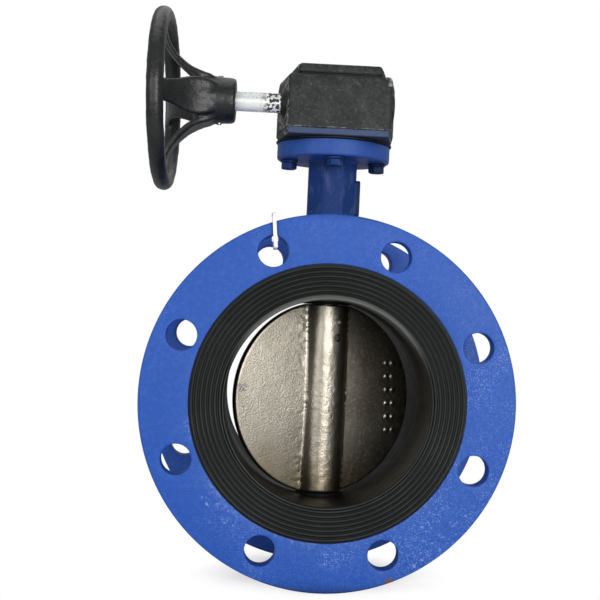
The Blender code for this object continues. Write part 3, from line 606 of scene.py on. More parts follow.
def bright_zinc():
    f = Finish("bright_zinc")
    x, _, z = f.parts(f.co)
    f.colour = f.mix(f.noise(scale=90, detail=4), (0.93, 0.95, 0.94), (0.99, 0.995, 0.99))
    # the upper side is rougher, specked with paint and painted grey-green as shade; the lower
    # side stays bright and smoother
    top = f.step(z, low=0.3568, high=0.3580)
    f.layer((0.50, 0.545, 0.51), top, strength=0.50)
    f.layer((0.06, 0.065, 0.055),
            f.patches(scale=620, detail=2, rough=0.5, low=0.60, high=0.66),
            f.linear(top, gain=0.8, base=0.08), strength=0.85)
    # black blotches next to the gearbox, and a single dot
    blotch = f.mul(f.step(x, low=-0.063, high=-0.053),
                   f.patches(scale=400, detail=4, rough=0.6, low=0.465, high=0.505))
    f.layer((0.008, 0.0085, 0.0075), blotch, strength=0.97)
    dot = f.near((-0.0727, -0.0410, 0.3570), radius=0.0011, ragged=0.3, scale=800)
    f.layer((0.05, 0.05, 0.045), dot)
    f.bump(distance=0.00004, strength=0.5, scale=500, detail=2, rough=0.5, co=f.stretched(x=0.4))
    # the metal and its gloss are lost under the marks
    metal = f.sub(0.22, f.mul(f.math("MAXIMUM", blotch, dot), 0.22))
    dull = f.math("MAXIMUM", f.mul(blotch, 0.5), f.mul(top, 0.22))
    return f.done(f.add(f.linear(f.noise(scale=60), gain=0.12, base=0.20), dull),
                  metal=metal, view=(0.8, 0.8, 0.8))


def wheel_paint():
    f = Finish("wheel_paint")
    f.colour = f.mix(f.patches(scale=45, detail=4, low=0.35, high=0.7),
                     (0.0065, 0.0072, 0.0075), (0.0145, 0.0155, 0.0155))
    # dust, then chipped edges
    f.layer((0.050, 0.056, 0.056),
            f.patches(scale=420, detail=4, rough=0.7, low=0.58, high=0.78), strength=0.30)
    f.layer((0.20, 0.20, 0.18), f.edges(radius=0.0015, gain=5.0),
            f.patches(scale=260, low=0.60, high=0.68), strength=0.6)
    f.bump(distance=0.0005, strength=0.12, scale=170, detail=2, rough=0.5)
    f.bump(distance=0.00034, strength=0.75, scale=820, detail=2, rough=0.5)
    return f.done(f.linear(f.noise(scale=110, detail=4), gain=0.20, base=0.27),
                  view=(0.02, 0.02, 0.02), Specular_IOR_Level=0.42,
                  Coat_Weight=0.15, Coat_Roughness=0.16)


def stain_housing(f, z, mottle):
    """Blue overspray round the foot of the housing, and splashes round the input shaft."""
    normal_x, normal_y, _ = f.parts(f.node("NewGeometry").outputs["Normal"])
    # the blue ends at a wavy height, with a thin pale dusty line along its top
    wobble = f.mul(f.sub(f.noise(scale=120, detail=4), 0.5), 0.0024)
    height = f.sub(f.add(z, wobble), 0.3362)
    blue = f.step(height, low=0.0004, high=-0.0004)
    front = f.math("MAXIMUM", f.step(normal_y, low=-0.45, high=-0.80),
                   f.step(normal_x, low=0.5, high=0.9))
    f.layer(f.mix(mottle, (0.030, 0.058, 0.150), (0.070, 0.105, 0.225)),
            blue, f.linear(front, gain=0.78, base=0.10))
    f.layer((0.30, 0.31, 0.28),
            f.step(f.math("ABSOLUTE", f.sub(height, 0.0006)), low=0.0009, high=0.0002),
            f.patches(scale=160, detail=4, low=0.42, high=0.60), front, strength=0.60)
    f.layer((0.018, 0.024, 0.040), f.step(z, low=0.3325, high=0.3314), strength=0.75)
    # a dark splash in a wider pale one, on the wall facing -X
    splash_at = (-0.0462, -0.036, 0.356)
    wall = f.step(normal_x, low=-0.55, high=-0.85)
    f.layer((0.0075, 0.0075, 0.007),
            f.near(splash_at, radius=0.0150, ragged=0.45, scale=160), wall, strength=0.90)
    f.layer((0.36, 0.37, 0.32),
            wall, f.near(splash_at, radius=0.0320, ragged=0.6, scale=120),
            f.patches(scale=300, detail=5, rough=0.72, low=0.48, high=0.58), strength=0.90)


def operator_cast(stained):
    f = Finish("operator_cast" if stained else "operator_cast_plain")
    _, _, z = f.parts(f.co)
    mottle = f.noise(scale=75, detail=6, rough=0.66)
    light = (0.0275, 0.0318, 0.0300) if stained else (0.0215, 0.0250, 0.0240)
    f.colour = f.mix(f.step(mottle, low=0.34, high=0.70), (0.0115, 0.0134, 0.0131), light)
    # fine pale mottling, dark pits and greenish patches
    f.layer((0.054, 0.061, 0.055),
            f.patches(scale=300, detail=6, rough=0.75, low=0.44, high=0.66), strength=0.45)
    f.layer((0.006, 0.007, 0.0065),
            f.patches(scale=430, detail=4, rough=0.7, low=0.46, high=0.36), strength=0.65)
    f.layer((0.115, 0.120, 0.080),
            f.patches(scale=330, detail=5, rough=0.75, low=0.56, high=0.66),
            f.patches(scale=26, detail=2, low=0.42, high=0.60), strength=0.55)
    # worn edges
    f.layer((0.22, 0.23, 0.215), f.edges(radius=0.0016, gain=4.0),
            f.patches(scale=170, detail=4, rough=0.6, low=0.47, high=0.62), strength=0.60)
    # bare patches at the upper corner away from the shaft, and a faint chip mid-front
    f.layer((0.36, 0.38, 0.35),
            f.near((0.0405, -0.0500, 0.3765), radius=0.0060, ragged=0.8, scale=200),
            f.patches(scale=300, detail=4, rough=0.65, low=0.45, high=0.57), strength=0.75)
    f.layer((0.30, 0.31, 0.29),
            f.near((-0.0020, -0.0485, 0.3786), radius=0.0042, ragged=0.8, scale=260),
            f.patches(scale=520, rough=0.6, low=0.50, high=0.58), strength=0.15)
    # a dark line of grime where the cover meets the housing
    f.layer((0.004, 0.004, 0.004),
            f.step(f.math("ABSOLUTE", f.sub(z, 0.3788)), low=0.0014, high=0.0008), strength=0.92)
    if stained:
        stain_housing(f, z, mottle)
    f.bump(distance=0.00042, strength=0.6, scale=380, detail=4, rough=0.62)
    f.bump(distance=0.0009, strength=0.35, scale=90)
    return f.done(f.linear(f.noise(scale=140, detail=4), gain=0.25, base=0.44),
                  view=(0.05, 0.05, 0.05), Specular_IOR_Level=0.29)


def bronze():
    f = Finish("bearing_bronze")
    f.colour = f.mix(f.noise(scale=160), (0.46, 0.29, 0.12), (0.58, 0.38, 0.17))
    f.bump(distance=0.00005, strength=0.5, scale=260, detail=2, rough=0.5, co=f.stretched(z=8))
    return f.done(f.linear(f.noise(scale=80), gain=0.2, base=0.28),
                  metal=1.0, view=(0.5, 0.33, 0.14))


def nylon():
    f = Finish("tie_nylon")
    f.colour = f.mix(f.noise(scale=200, detail=2), (0.80, 0.82, 0.84), (0.90, 0.92, 0.94))
    f.bump(distance=0.00004, strength=0.4, scale=900, detail=2)
    return f.done(rough=0.38, view=(0.85, 0.85, 0.82),
                  Subsurface_Weight=0.15, Subsurface_Scale=0.001)


def yellow_paint():
    f = Finish("pointer_yellow")
    f.colour = f.mix(f.noise(scale=90, detail=4), (0.70, 0.43, 0.020), (0.82, 0.54, 0.035))
    f.layer((0.10, 0.085, 0.05),
            f.patches(scale=330, detail=5, rough=0.7, low=0.56, high=0.76), strength=0.45)
    f.bump(distance=0.00015, strength=0.5, scale=320)
    return f.done(f.linear(f.noise(scale=130), gain=0.2, base=0.34), view=(0.8, 0.5, 0.03))


# A finish is the slot it fills and its material.
BLUE = "body_paint", blue_epoxy()
RUBBER = "seat_rubber", rubber("seat_rubber", base=0.0275, rough_at=0.42, dusty=0.18)
SEAL = "seal_rubber", rubber("seal_rubber", base=0.010, rough_at=0.50, dusty=0.35)
NICKEL = "disc_nickel", nickel_cast()
STEEL = "stem_steel", steel("stem_steel")
PIN_STEEL = "stem_steel", steel("pin_steel_dark", colour=(0.10, 0.095, 0.085), rough_at=0.6)
FASTENER = "fastener_zinc", steel("fastener_zinc", colour=(0.62, 0.62, 0.59), rough_at=0.36)
ZINC = "shaft_zinc", bright_zinc()
WHEEL_PAINT = "wheel_paint", wheel_paint()
CAST = "operator_cast", operator_cast(stained=True)
CAST_PLAIN = "operator_cast", operator_cast(stained=False)
BRONZE = None, bronze()     # only on pieces kept from the frame, so it fills no slot
NYLON = "tie_nylon", nylon()
YELLOW = "pointer_paint", yellow_paint()

# ================================================================ valve body
CASTING_BORE_R, BARREL_R, FLANGE_R = 84.5, 97.0, 141.0
FLANGE_BACK, FLANGE_FACE = 53.5, 70.0
RECESS_R, RECESS_FACE = 103.8, 64.0     # the seat's recess in each flange face
NECK_FLATS, BOSS_R, BOSS_END = 38.0, 19.0, 127.0
TOP_R, TOP_LOW, TOP_HIGH = 45.0, 188.5, 201.5
STEM_PASSAGE_R = 12.8
BOLT_CIRCLE_R, BOLT_HOLE_R, HOLE_ROLL = 120.0, 11.5, 1.0
BOLT_COUNT = 8
MOUNT_R, MOUNT_HOLE_R = 35, 5.2
MOUNTS = [(MOUNT_R * math.cos(a), MOUNT_R * math.sin(a))
          for a in (math.pi / 2 * i for i in range(4))]

body_half = [
    (CASTING_BORE_R, RECESS_FACE), (RECESS_R, RECESS_FACE), (RECESS_R, FLANGE_FACE),
    (FLANGE_R, FLANGE_FACE), (FLANGE_R, FLANGE_BACK), (BARREL_R, FLANGE_BACK)]
body_radii = [0.4, 0.4, 0.6, 1.5, 1.8, 5.0]
casting = turned(rounded(mirrored(body_half), body_radii + body_radii[::-1], 4), "Y", steps=144)


def stalk(outline, fillet, top, flare=0.0, down=False):
    """A post on the barrel, its foot filleted to the barrel, and its end flared or rounded."""
    sign = -1 if down else 1
    rings = []

    def ring(spread, height):
        """Adds the outline spread outwards, at a height that may follow x."""
        rings.append([(x, y, sign * height(x)) for x, y in inset(outline, -spread)])

    def barrel_z(x):
        return math.sqrt(max(BARREL_R ** 2 - x * x, 0.0))

    ring(fillet, lambda x: 90.5)
    ring(fillet, lambda x: barrel_z(x) - 1.2)
    for k in range(6, -1, -1):
        a = math.pi / 2 * k / 6
        ring(fillet * (1 - math.cos(a)), lambda x: barrel_z(x) + fillet * (1 - math.sin(a)))
    if flare:
        for k in range(6):
            a = math.pi / 2 * k / 5
            ring(flare * (1 - math.cos(a)), lambda x: top - flare * (1 - math.sin(a)))
        ring(flare, lambda x: top + 4.0)
    else:
        # the drop from the end and the inset of each ring of the rounded end
        rings.append([(x, y, sign * (top - 1.8)) for x, y in outline])
        for drop, narrowing in ((0.9, 0.25), (0.25, 0.9), (0.0, 1.8)):
            ring(-narrowing, lambda x: top - drop)
    return loft(rings)


octagon = polygon(8, NECK_FLATS / 2 / math.cos(math.pi / 8), math.pi / 8)
neck = stalk(rounded(octagon, 2.2, 3), 7.0, TOP_LOW, flare=3.5)
boss = stalk(polygon(48, BOSS_R, 0.03), 5.0, BOSS_END, down=True)
top_flange = turned(
    rounded([(0, TOP_LOW), (TOP_R, TOP_LOW), (TOP_R, TOP_HIGH), (0, TOP_HIGH)],
            [0, 2.0, 0.9, 0], 4), "Z", steps=96)
# a cast pad on the +X side of the neck: its (y, z) outline, then (x, inset) steps
PAD = [(-9, 147), (-7, 145), (7, 145), (9, 147), (9, 172), (7, 174), (-7, 174), (-9, 172)]
pad = loft([[(x, y, h) for x, y in rounded(inset(PAD, d), 0.8, 2)]
            for h, d in ((12.0, 0.0), (21.4, 0.0), (21.9, 0.25), (22.2, 0.8))], "X")
join(casting, neck, top_flange, boss, pad)
cut(casting, stem_bores(STEM_PASSAGE_R, [(70, 215), (-140, -70)], 48, 0.05))

# bolt holes, with the edges rolled over where the coating runs into them
hole_half = [(r, h) for r, h in (
    (0.0, 90.0), (BOLT_HOLE_R + HOLE_ROLL, 90.0), (BOLT_HOLE_R + HOLE_ROLL, FLANGE_FACE))]
for k in range(1, 5):
    a = math.pi / 8 * k
    hole_half.append((BOLT_HOLE_R + HOLE_ROLL * (1 - math.sin(a)),
                      FLANGE_FACE - HOLE_ROLL * (1 - math.cos(a))))
for k in range(5):
    a = math.pi / 8 * k
    hole_half.append((BOLT_HOLE_R + HOLE_ROLL * (1 - math.cos(a)),
                      FLANGE_BACK + HOLE_ROLL * (1 - math.sin(a))))
bolt_holes = []
for i in range(BOLT_COUNT):
    a = math.radians(22.5 + 45 * i)
    at = (BOLT_CIRCLE_R * math.cos(a), 0, BOLT_CIRCLE_R * math.sin(a))
    bolt_holes.append(turned(mirrored(hole_half), "Y", 40, at, phase=0.06))
cut(casting, gathered(bolt_holes), drills(MOUNTS, MOUNT_HOLE_R, 180, 210, 24, phase=0.08))
piece(casting, "body_casting", "valve_body", BODY, BLUE, VALVE)

# ================================================================ rubber seat, with sealing ribs
SEAT_FACE, SEAT_BACK = 71.0, 64.3
SEAT_R, SEAT_BARREL_R = 103.5, 84.2
RIB_PITCH, RIB_DEPTH, RIB_POINTS = 3.5, 1.25, 9
FIRST_CREST_R = 80.5
LIP_BORE_R, LIP_ROUND = 77.0, 1.7
STEM_HOLE_R = 9.85      # shared by the seat and the disc

ribs = []
for r in graded(79.0, [(103.0 + 1e-6, RIB_PITCH / RIB_POINTS)]):
    wave = (0.5 + 0.5 * math.cos(2 * math.pi * (r - FIRST_CREST_R) / RIB_PITCH)) ** 1.15
    ribs.append((r, SEAT_FACE - RIB_DEPTH * (1 - wave)))
lip = [(LIP_BORE_R + LIP_ROUND * (1 - math.cos(a)),
        SEAT_FACE - 0.25 - LIP_ROUND * (1 - math.sin(a)))
       for a in (math.pi / 10 * k for k in range(6))]
seat_half = [(SEAT_BARREL_R, SEAT_BACK), (SEAT_R, SEAT_BACK), (SEAT_R, SEAT_FACE - 1.1)]
seat = turned(mirrored(seat_half + ribs[::-1] + lip[::-1]), "Y", steps=144)
# flat round lands where the stem passes, above and below
land = rounded([(0, 74.4), (20.2, 74.4), (20.2, 80.0), (0, 80.0)], [0, 0.8, 0, 0], 3)
join(seat, gathered([turned([(r, sign * h) for r, h in land], "Z", 64, phase=0.02)
                     for sign in (1, -1)]))
cut(seat, stem_bores(STEM_HOLE_R, [(70, 92), (-92, -70)], 40, 0.03))
piece(seat, "seat_ring", "seat_liner", BODY, RUBBER, VALVE, 40)

# ================================================================ disc
DISC_R = 76.2
DISC_FLAT = 74.0            # the disc is flattened above and below at this height
HUB_R, HUB_W = 17.2, 17.3   # half depth and half width of the hub
EDGE_ROUND = 1.4
UPPER_PIN, LOWER_PIN = (3.4, 0, 48.0), (3.4, 0, -54.0)
MARK_R, MARK_PITCH = 2.2, 10.95


def smooth_max(a, b, blend):
    overlap = max(blend - abs(a - b), 0.0) / blend
    return max(a, b) + overlap * overlap * blend / 4


def unit(value):
    return min(1.0, max(0.0, value))


def disc_half(x, z, to_edge, side):
    """Half thickness of the disc at a point, on the front (side -1) or the back (side +1)."""
    plate = 6.5 - 2.7 * min(math.hypot(x, z), 75.0) / 75.0
    across = abs(x)
    # the hub is a round bar, a little flatter on top
    u = across / HUB_W
    crown = HUB_R - 0.2
    if u < 0.975:
        hub = crown * (1.0 - u ** 2.2) ** (1 / 2.1)
    else:
        hub = crown * 0.25 - (across - HUB_W * 0.975) * 5.0
    half = smooth_max(plate, hub, 4.2)
    p = Vector((x, side * 40.0, z))
    half += 0.035 * noise.noise(p / 7.0) + 0.025 * noise.noise(p / 2.9)
    if across < HUB_W:
        half += 0.15 * noise.noise(p / 4.2) + 0.09 * noise.noise(p / 2.2)
    # the sand left lumps where the hub runs into the plate on the -X side
    lump = max(0.0, 1.0 - abs(x + 20.0) / 6.5)
    lump *= 0.35 + 0.65 * unit((z - 18.0) / 14.0) + 0.5 * unit((-z - 30.0) / 14.0)
    long_p = Vector((p.x / 5.0, p.y, p.z / 3.4)) + Vector((7, 1, 3))
    half += lump * (0.42 * noise.noise(long_p) + 0.16 * noise.noise(p / 1.9))
    if side < 0:
        # two columns of plain round marks cast on the right of the front
        for k in range(6):
            mark_z = 29.1 - MARK_PITCH * k
            for mark_x in (54.6 + 0.55 * k, 60.4 + 0.55 * k):
                d = math.hypot(x - mark_x, z - mark_z)
                if d < MARK_R:
                    half += 0.85 * (1 - (d / MARK_R) ** 2) ** 0.7
    if to_edge < EDGE_ROUND:
        half -= EDGE_ROUND * (1 - math.sqrt(max(1 - (1 - to_edge / EDGE_ROUND) ** 2, 0.0)))
    return half


def build_disc():
    """A polar mesh of both faces, finer where the front marks are, joined round the rim."""
    angles = [math.radians(v) for v in graded(-30.0, [(32.0, 0.62), (330.0 - 0.5, 1.35)])]
    rounds = graded(1.6, [(51.5, 1.25), (68.0, 0.62), (74.2, 1.1)])
    fractions = [r / DISC_R for r in rounds]
    fractions += [(DISC_R - d) / DISC_R for d in (1.4, 0.9, 0.5, 0.2, 0.03, 0.0)]
    reach = [min(DISC_R, DISC_FLAT / max(abs(math.sin(a)), 1e-6)) for a in angles]
    n = len(angles)
    pairs = [(j, (j + 1) % n) for j in range(n)]
    verts, faces, rims = [], [], []
    for side in (-1, 1):
        centre = len(verts)
        first = centre + 1
        verts.append((0, side * disc_half(0, 0, 50, side), 0))
        for t in fractions:
            for a, edge_r in zip(angles, reach):
                x, z = t * edge_r * math.cos(a), t * edge_r * math.sin(a)
                verts.append((x, side * disc_half(x, z, (1 - t) * edge_r, side), z))
        for j, k in pairs:
            faces.append((centre, first + j, first + k) if side < 0
                         else (centre, first + k, first + j))
        for i in range(len(fractions) - 1):
            low, high = first + i * n, first + (i + 1) * n
            for j, k in pairs:
                quad = (low + j, high + j, high + k, low + k)
                faces.append(quad if side < 0 else quad[::-1])
        rims.append(first + (len(fractions) - 1) * n)
    rim_front, rim_back = rims
    walls = 4
    previous = rim_front
    for w in range(1, walls + 1):
        if w == walls:
            here = rim_back
        else:
            here = len(verts)
            for j in range(n):
                front, back = verts[rim_front + j], verts[rim_back + j]
                verts.append(tuple(f + (b - f) * w / walls for f, b in zip(front, back)))
        for j, k in pairs:
            faces.append((previous + j, here + j, here + k, previous + k))
        previous = here
    me = bpy.data.meshes.new("part")
    me.from_pydata(verts, [], faces)
    me.update()
    return linked(me)


disc = build_disc()
cut(disc, stem_bores(STEM_HOLE_R, [(22, 80), (-80, -34)], 40, 0.03))
cut(disc, gathered([
    rod(3.3, -25, 25, "Y", 24, UPPER_PIN, phase=0.04),
    rod(3.3, -4, 25, "Y", 24, LOWER_PIN, phase=0.04),
    rod(1.4, -25, -15.9, "Y", 20, (3.9, 0, 60.5), phase=0.04),     # a small blind hole
]))
piece(disc, "disc_casting", "disc", TRAIN, NICKEL, STEM, 38)
for name, front, at in (("upper", -13.6, UPPER_PIN), ("lower", -3.6, LOWER_PIN)):
    piece(rod(3.0, front, 14.4, "Y", 24, at, edge=0.8),
          f"taper_pin_{name}", f"disc_pin_{name}", TRAIN, PIN_STEEL, STEM)

# ================================================================ bottom plug
PLUG_R, PLUG_LOW, PLUG_HIGH = 12.5, -128.0, -114.5
plug = turned(rounded([(0, PLUG_LOW), (PLUG_R, PLUG_LOW), (PLUG_R, PLUG_HIGH), (0, PLUG_HIGH)],
                      [0, 1.3, 0.8, 0], 4), "Z", 64)
cut(plug, drills([(-7, 0), (7, 0)], 1.6, -135, -123, 20))     # two spanner holes
piece(plug, "bottom_plug", "thrust_plug", BODY, STEEL, VALVE)

# ================================================================ operator housing and cover
# plan outlines, as (x, y)
HOUSING = [
    (-38.2, -49.0), (40.8, -49.0), (46.6, -8.0), (48.0, 18.0), (46.5, 38.0), (39.0, 47.5),
    (-37.0, 47.5), (-44.5, 38.0), (-46.5, 18.0), (-45.6, -8.0)]
COVER = [
    (-30.2, -47.2), (32.4, -47.2), (35.4, -33.0), (41.8, 6.0), (45.2, 22.0), (44.2, 38.0),
    (38.0, 45.6), (-36.0, 45.6), (-42.2, 38.0), (-43.4, 22.0), (-39.6, 6.0), (-33.2, -34.0)]
# wall stations, as (height, inset)
HOUSING_WALL = [
    (203.2, 2.1), (203.4, 1.65), (203.9, 1.3), (207.7, 1.3), (208.15, 1.15), (208.4, 0.6),
    (208.8, 0.15), (209.5, 0.0), (216.0, 0.0), (224.0, 0.0), (232.0, 0.0), (240.0, 0.0),
    (246.4, 0.0), (247.5, 0.25), (248.6, 0.8), (249.4, 1.6), (249.8, 2.6)]
COVER_WALL = [
    (250.8, 0.45), (251.0, 0.12), (251.4, 0.0), (255.8, 0.0), (256.7, 0.25), (257.4, 0.8),
    (257.8, 1.7)]
COVER_SCREWS = [(-27.0, -39.5), (27.0, -39.5), (36.5, 36.0), (-35.5, 36.0)]
STOP_X = 19.0

housing = plan_loft(HOUSING, 2.6, HOUSING_WALL)
# the hollow: round about the stem, with a trough for the worm and room at the back
cavity = rod(29.5, 216, 260, steps=48)
join(cavity, block((-17.6, -45, 216.4), (17.6, -12, 261)),
     block((-30, 4, 216.2), (30, 39, 262), 3))
cut(housing, cavity)
cut(housing, rod(11.3, -60, 60, "X", 40, (0, -WORM_DROP, WORM_Z), phase=0.04))
cut(housing, rod(10.6, 195, 230, steps=40, phase=0.04))
tapped = [drills(MOUNTS, 4.3, 195, 213.6, 16), drills(COVER_SCREWS, 3.3, 241.4, 260, 16)]
tapped += [rod(3.3, 30, 60, "Y", 20, (side * STOP_X, 0, WORM_Z), phase=0.05)
           for side in (-1, 1)]
cut(housing, gathered(tapped))
piece(housing, "housing_casting", "gearbox_housing", BODY, CAST, OPERATOR, 30)

seal = tube(inner=30.0, outer=46.3, low=201.75, high=202.95, steps=96, edge=0.5)
cut(seal, drills(MOUNTS, MOUNT_HOLE_R, 195, 210, 20))
piece(seal, "flange_seal", "gearbox_seal_ring", BODY, SEAL, OPERATOR)

cover = plan_loft(COVER, 2.6, COVER_WALL)
dial_ring = turned(rounded([(17.6, 256.5), (20.8, 256.5), (20.8, 258.7), (17.6, 258.7)],
                           [0, 0, 0.7, 0.7], 3), "Z", 72)
join(cover, dial_ring)
# each screw head sits sunk in a counterbore
SUNK = [(0, 240.0), (3.4, 240.0), (3.4, 253.9), (5.3, 253.9), (5.3, 270.0), (0, 270.0)]
cut(cover, rod(10.2, 240, 270, steps=48, phase=0.04),
    gathered([turned(SUNK, "Z", 24, (x, y, 0), phase=0.05) for x, y in COVER_SCREWS]))
piece(cover, "cover_casting", "gearbox_cover", BODY, CAST_PLAIN, OPERATOR, 30)

gasket = prism(rounded([(x * 0.985, y * 0.985) for x, y in COVER], 2.4, 4), 250.0, 250.6)
cut(gasket, rod(26, 240, 260, steps=40, phase=0.03), drills(COVER_SCREWS, 3.4, 240, 260, 16))
piece(gasket, "lid_gasket", "cover_gasket", BODY, SEAL, OPERATOR)

COVER_SCREW = rounded([(0, 242.4), (3.0, 242.4), (3.0, 254.2), (5.0, 254.2), (5.0, 257.5),
                       (0, 257.5)], [0, 0.4, 0, 0.3, 0.6, 0], 3)
for i, (x, y) in enumerate(COVER_SCREWS, 1):
    screw = turned(COVER_SCREW, "Z", 40, (x, y, 0))
    cut(screw, prism(polygon(6, 2.6, 0.2 * i), 255.5, 270, at=(x, y, 0)))
    piece(screw, f"lid_screw_{i}", f"cover_screw_{i}", BODY, FASTENER, OPERATOR)

# ================================================================ bolts under the top flange
# They are painted over with the body. The head's stations are (height, inset), from below.
BOLT_HEAD = [(181.2, 1.4), (181.515, 0.405), (182.1, 0.0), (186.1, 0.0), (186.4, 0.3)]
for i, (x, y) in enumerate(MOUNTS):
    at = (x, y, 0)
    washer = tube(inner=4.3, outer=7.1, low=186.7, high=188.2, steps=40, edge=0.5, at=at)
    piece(washer, f"bolt_washer_{i + 1}", f"mounting_washer_{i + 1}", BODY, BLUE, OPERATOR)
    bolt = rod(4.0, 184, 213, "Z", 24, at, edge=0.4)
    join(bolt, plan_loft(polygon(6, 6.6, math.radians(10 + 17 * i)), 1.2, BOLT_HEAD, 3, at=at))
    piece(bolt, f"flange_bolt_{i + 1}", f"mounting_bolt_{i + 1}", BODY, BLUE, OPERATOR)

# ================================================================ worm shaft
WORM_R = 9.0
WORM_PITCH = math.pi * 2.0
ADDENDUM, DEDENDUM, BACKLASH = 1.75, 2.4, 0.42
CREST_CUT = 0.05            # taken off the crests for clearance
COLLAR_R = 9.4
THREAD_HALF, THREAD_RINGS = 13, 88
SHAFT_STEPS = 60
PIN_X = -91                 # the pin through the handwheel hub
# plain parts of the shaft either side of the worm, as (x, radius)
OUTER_SHAFT = [
    (-111, 6.4), (-110.92, 6.8), (-110.6, 7.2), (-110.0, 7.5), (-60, 7.5), (-17.3, 7.5),
    (-17.0, 7.8), (-16.98, 9.0), (-16.6, COLLAR_R), (-13.1, COLLAR_R)]
INNER_SHAFT = [
    (13.1, COLLAR_R), (16.6, COLLAR_R), (16.98, 9.0), (17.0, 6.3), (17.3, 6.0), (35.2, 6.0),
    (35.75, 5.7), (36.0, 5.1)]


def worm_reach(x, a):
    """The radius of a right-hand single-start thread: a rack tooth carried round the axis."""
    half_tooth = (WORM_PITCH / 2 - BACKLASH / 2) / 2
    slope = math.tan(math.radians(20))
    along = x - WORM_PITCH * a / (2 * math.pi)
    d = abs((along + WORM_PITCH / 2) % WORM_PITCH - WORM_PITCH / 2)
    crest, root = half_tooth - ADDENDUM * slope, half_tooth + DEDENDUM * slope
    if d <= crest:
        return WORM_R + ADDENDUM - CREST_CUT
    if d >= root:
        return WORM_R - DEDENDUM
    fall = (d - crest) / (root - crest) * (ADDENDUM + DEDENDUM - CREST_CUT)
    return WORM_R + ADDENDUM - CREST_CUT - fall


def shaft_ring(x, r, threaded=False):
    ring = []
    for i in range(SHAFT_STEPS):
        a = 2 * math.pi * i / SHAFT_STEPS
        reach = max(worm_reach(x, a), r) if threaded else r
        ring.append((reach * math.cos(a), reach * math.sin(a), x))
    return ring


rings = [shaft_ring(x, r) for x, r in OUTER_SHAFT]
for i in range(THREAD_RINGS + 1):
    x = -THREAD_HALF + 2 * THREAD_HALF * i / THREAD_RINGS
    rings.append(shaft_ring(x, COLLAR_R if abs(x) > 11.7 else 0.0, threaded=True))
rings += [shaft_ring(x, r) for x, r in INNER_SHAFT]
shaft = loft(rings, "X")
cut(shaft, rod(2.2, -30, 30, "Z", 20, (PIN_X, 0, 0), phase=0.04))
piece(shaft, "input_shaft", "worm_shaft", WHEEL, ZINC, WORM, 35)

lip_seal = turned(rounded(
    [(7.8, -43.8), (9.0, -43.8), (9.0, -41.7), (11.0, -41.4), (11.0, -38.5), (7.8, -38.5)],
    [0.2, 0.5, 0.3, 0.5, 0.3, 0.2], 3), "X", 56)
piece(lip_seal, "shaft_seal", "input_seal", BODY, SEAL, WORM)
end_cap = turned(rounded([(0, 37.6), (11, 37.6), (11, 44), (3.2, 44), (2.4, 43.2), (0, 43.2)],
                         [0, 0.3, 1.6, 0.4, 0, 0], 4), "X", 56)
piece(end_cap, "bearing_cap", "worm_end_cap", BODY, CAST_PLAIN, WORM)

# ================================================================ travel stops
# the lock nut's stations, as (y, inset)
NUT_STEPS = [(47.8, 0.45), (48.15, 0.1), (48.5, 0.0), (52.0, 0.0), (52.4, 0.12), (52.8, 0.6)]
for name, side, tip in (("open", 1, 9.9), ("closed", -1, 9.4)):
    at = (side * STOP_X, 0, WORM_Z)
    stop = rod(3.0, tip, 59, "Y", 32, at, edge=0.5)
    cut(stop, rod(1.7, 55, 62, "Y", 6, at))     # a six-sided socket in the back end
    piece(stop, f"travel_stop_{name}", f"stop_screw_{name}", BODY, FASTENER, OPERATOR)
    nut = plan_loft(polygon(6, 5.8, 0.2 * side), 0.7, NUT_STEPS, 3, "Y", at)
    cut(nut, rod(3.3, 40, 60, "Y", 24, at, phase=0.04))
    piece(nut, f"lock_nut_{name}", f"stop_nut_{name}", BODY, FASTENER, OPERATOR)

# ================================================================ position pointer
ARROW = [(4, -5), (19, -5), (27, 0), (19, 5), (4, 5)]
ARROW_STEPS = [(260.0, 0.3), (260.3, 0.0), (261.7, 0.0), (262.1, 0.15), (262.2, 0.5)]
pointer = turned(rounded([(0, 259.6), (16, 259.6), (16, 262.8), (0, 262.8)],
                         [0, 0.3, 1.0, 0], 4), "Z", 72)
join(pointer, plan_loft(ARROW, 0.8, ARROW_STEPS, 3))
cut(pointer, rod(2.8, 250, 270, steps=32, phase=0.04))
piece(pointer, "pointer_disc", "position_pointer", TRAIN, YELLOW, STEM)
screw = turned(rounded([(0, 247), (2, 247), (2, 263.1), (4.6, 263.1), (4.6, 265.2), (0, 266)],
                       [0, 0.3, 0, 0.3, 0.8, 0], 4), "Z", 40)
cut(screw, block((-6, -0.5, 264.9), (6, 0.5, 270)))
piece(screw, "pointer_fixing", "pointer_screw", TRAIN, FASTENER, STEM)

# ================================================================ handwheel
RIM_X, RIM_R, RIM_T = -134.0, 64.0, 6.5
SPOKE_T = 5.0
# the hub widens smoothly into the roots of the spokes: (radius, x) and corner radii
HUB = [(0, -111), (16.5, -111), (20.6, -107.5), (19.0, -99), (17.9, -90), (17.4, -80),
       (15.8, -78.5), (0, -78.5)]
HUB_RADII = [0, 2.0, 1.5, 9.0, 9.0, 2.0, 1.0, 0]
# the inner side of a spoke from hub to rim, as (x, radius)
SPOKE_LINE = [
    (-90, 13.5), (-97, 18.0), (-103, 19.8), (-108, 21.8), (-113, 24.6), (-118, 28.6),
    (-123, 33.6), (-128, 40.2), (-131.5, 47.5), (-133, 54), (-134, 61)]
# a spoke is broad at the hub, waisted, and flared at the rim: (radius, half width)
SPOKE_WIDTHS = [
    (13.5, 10.0), (18.0, 13.0), (20.4, 15.0), (23.5, 14.0), (28, 11.8), (33.3, 9.8),
    (40.2, 8.8), (47.5, 9.0), (54, 10.4), (61, 13.0)]


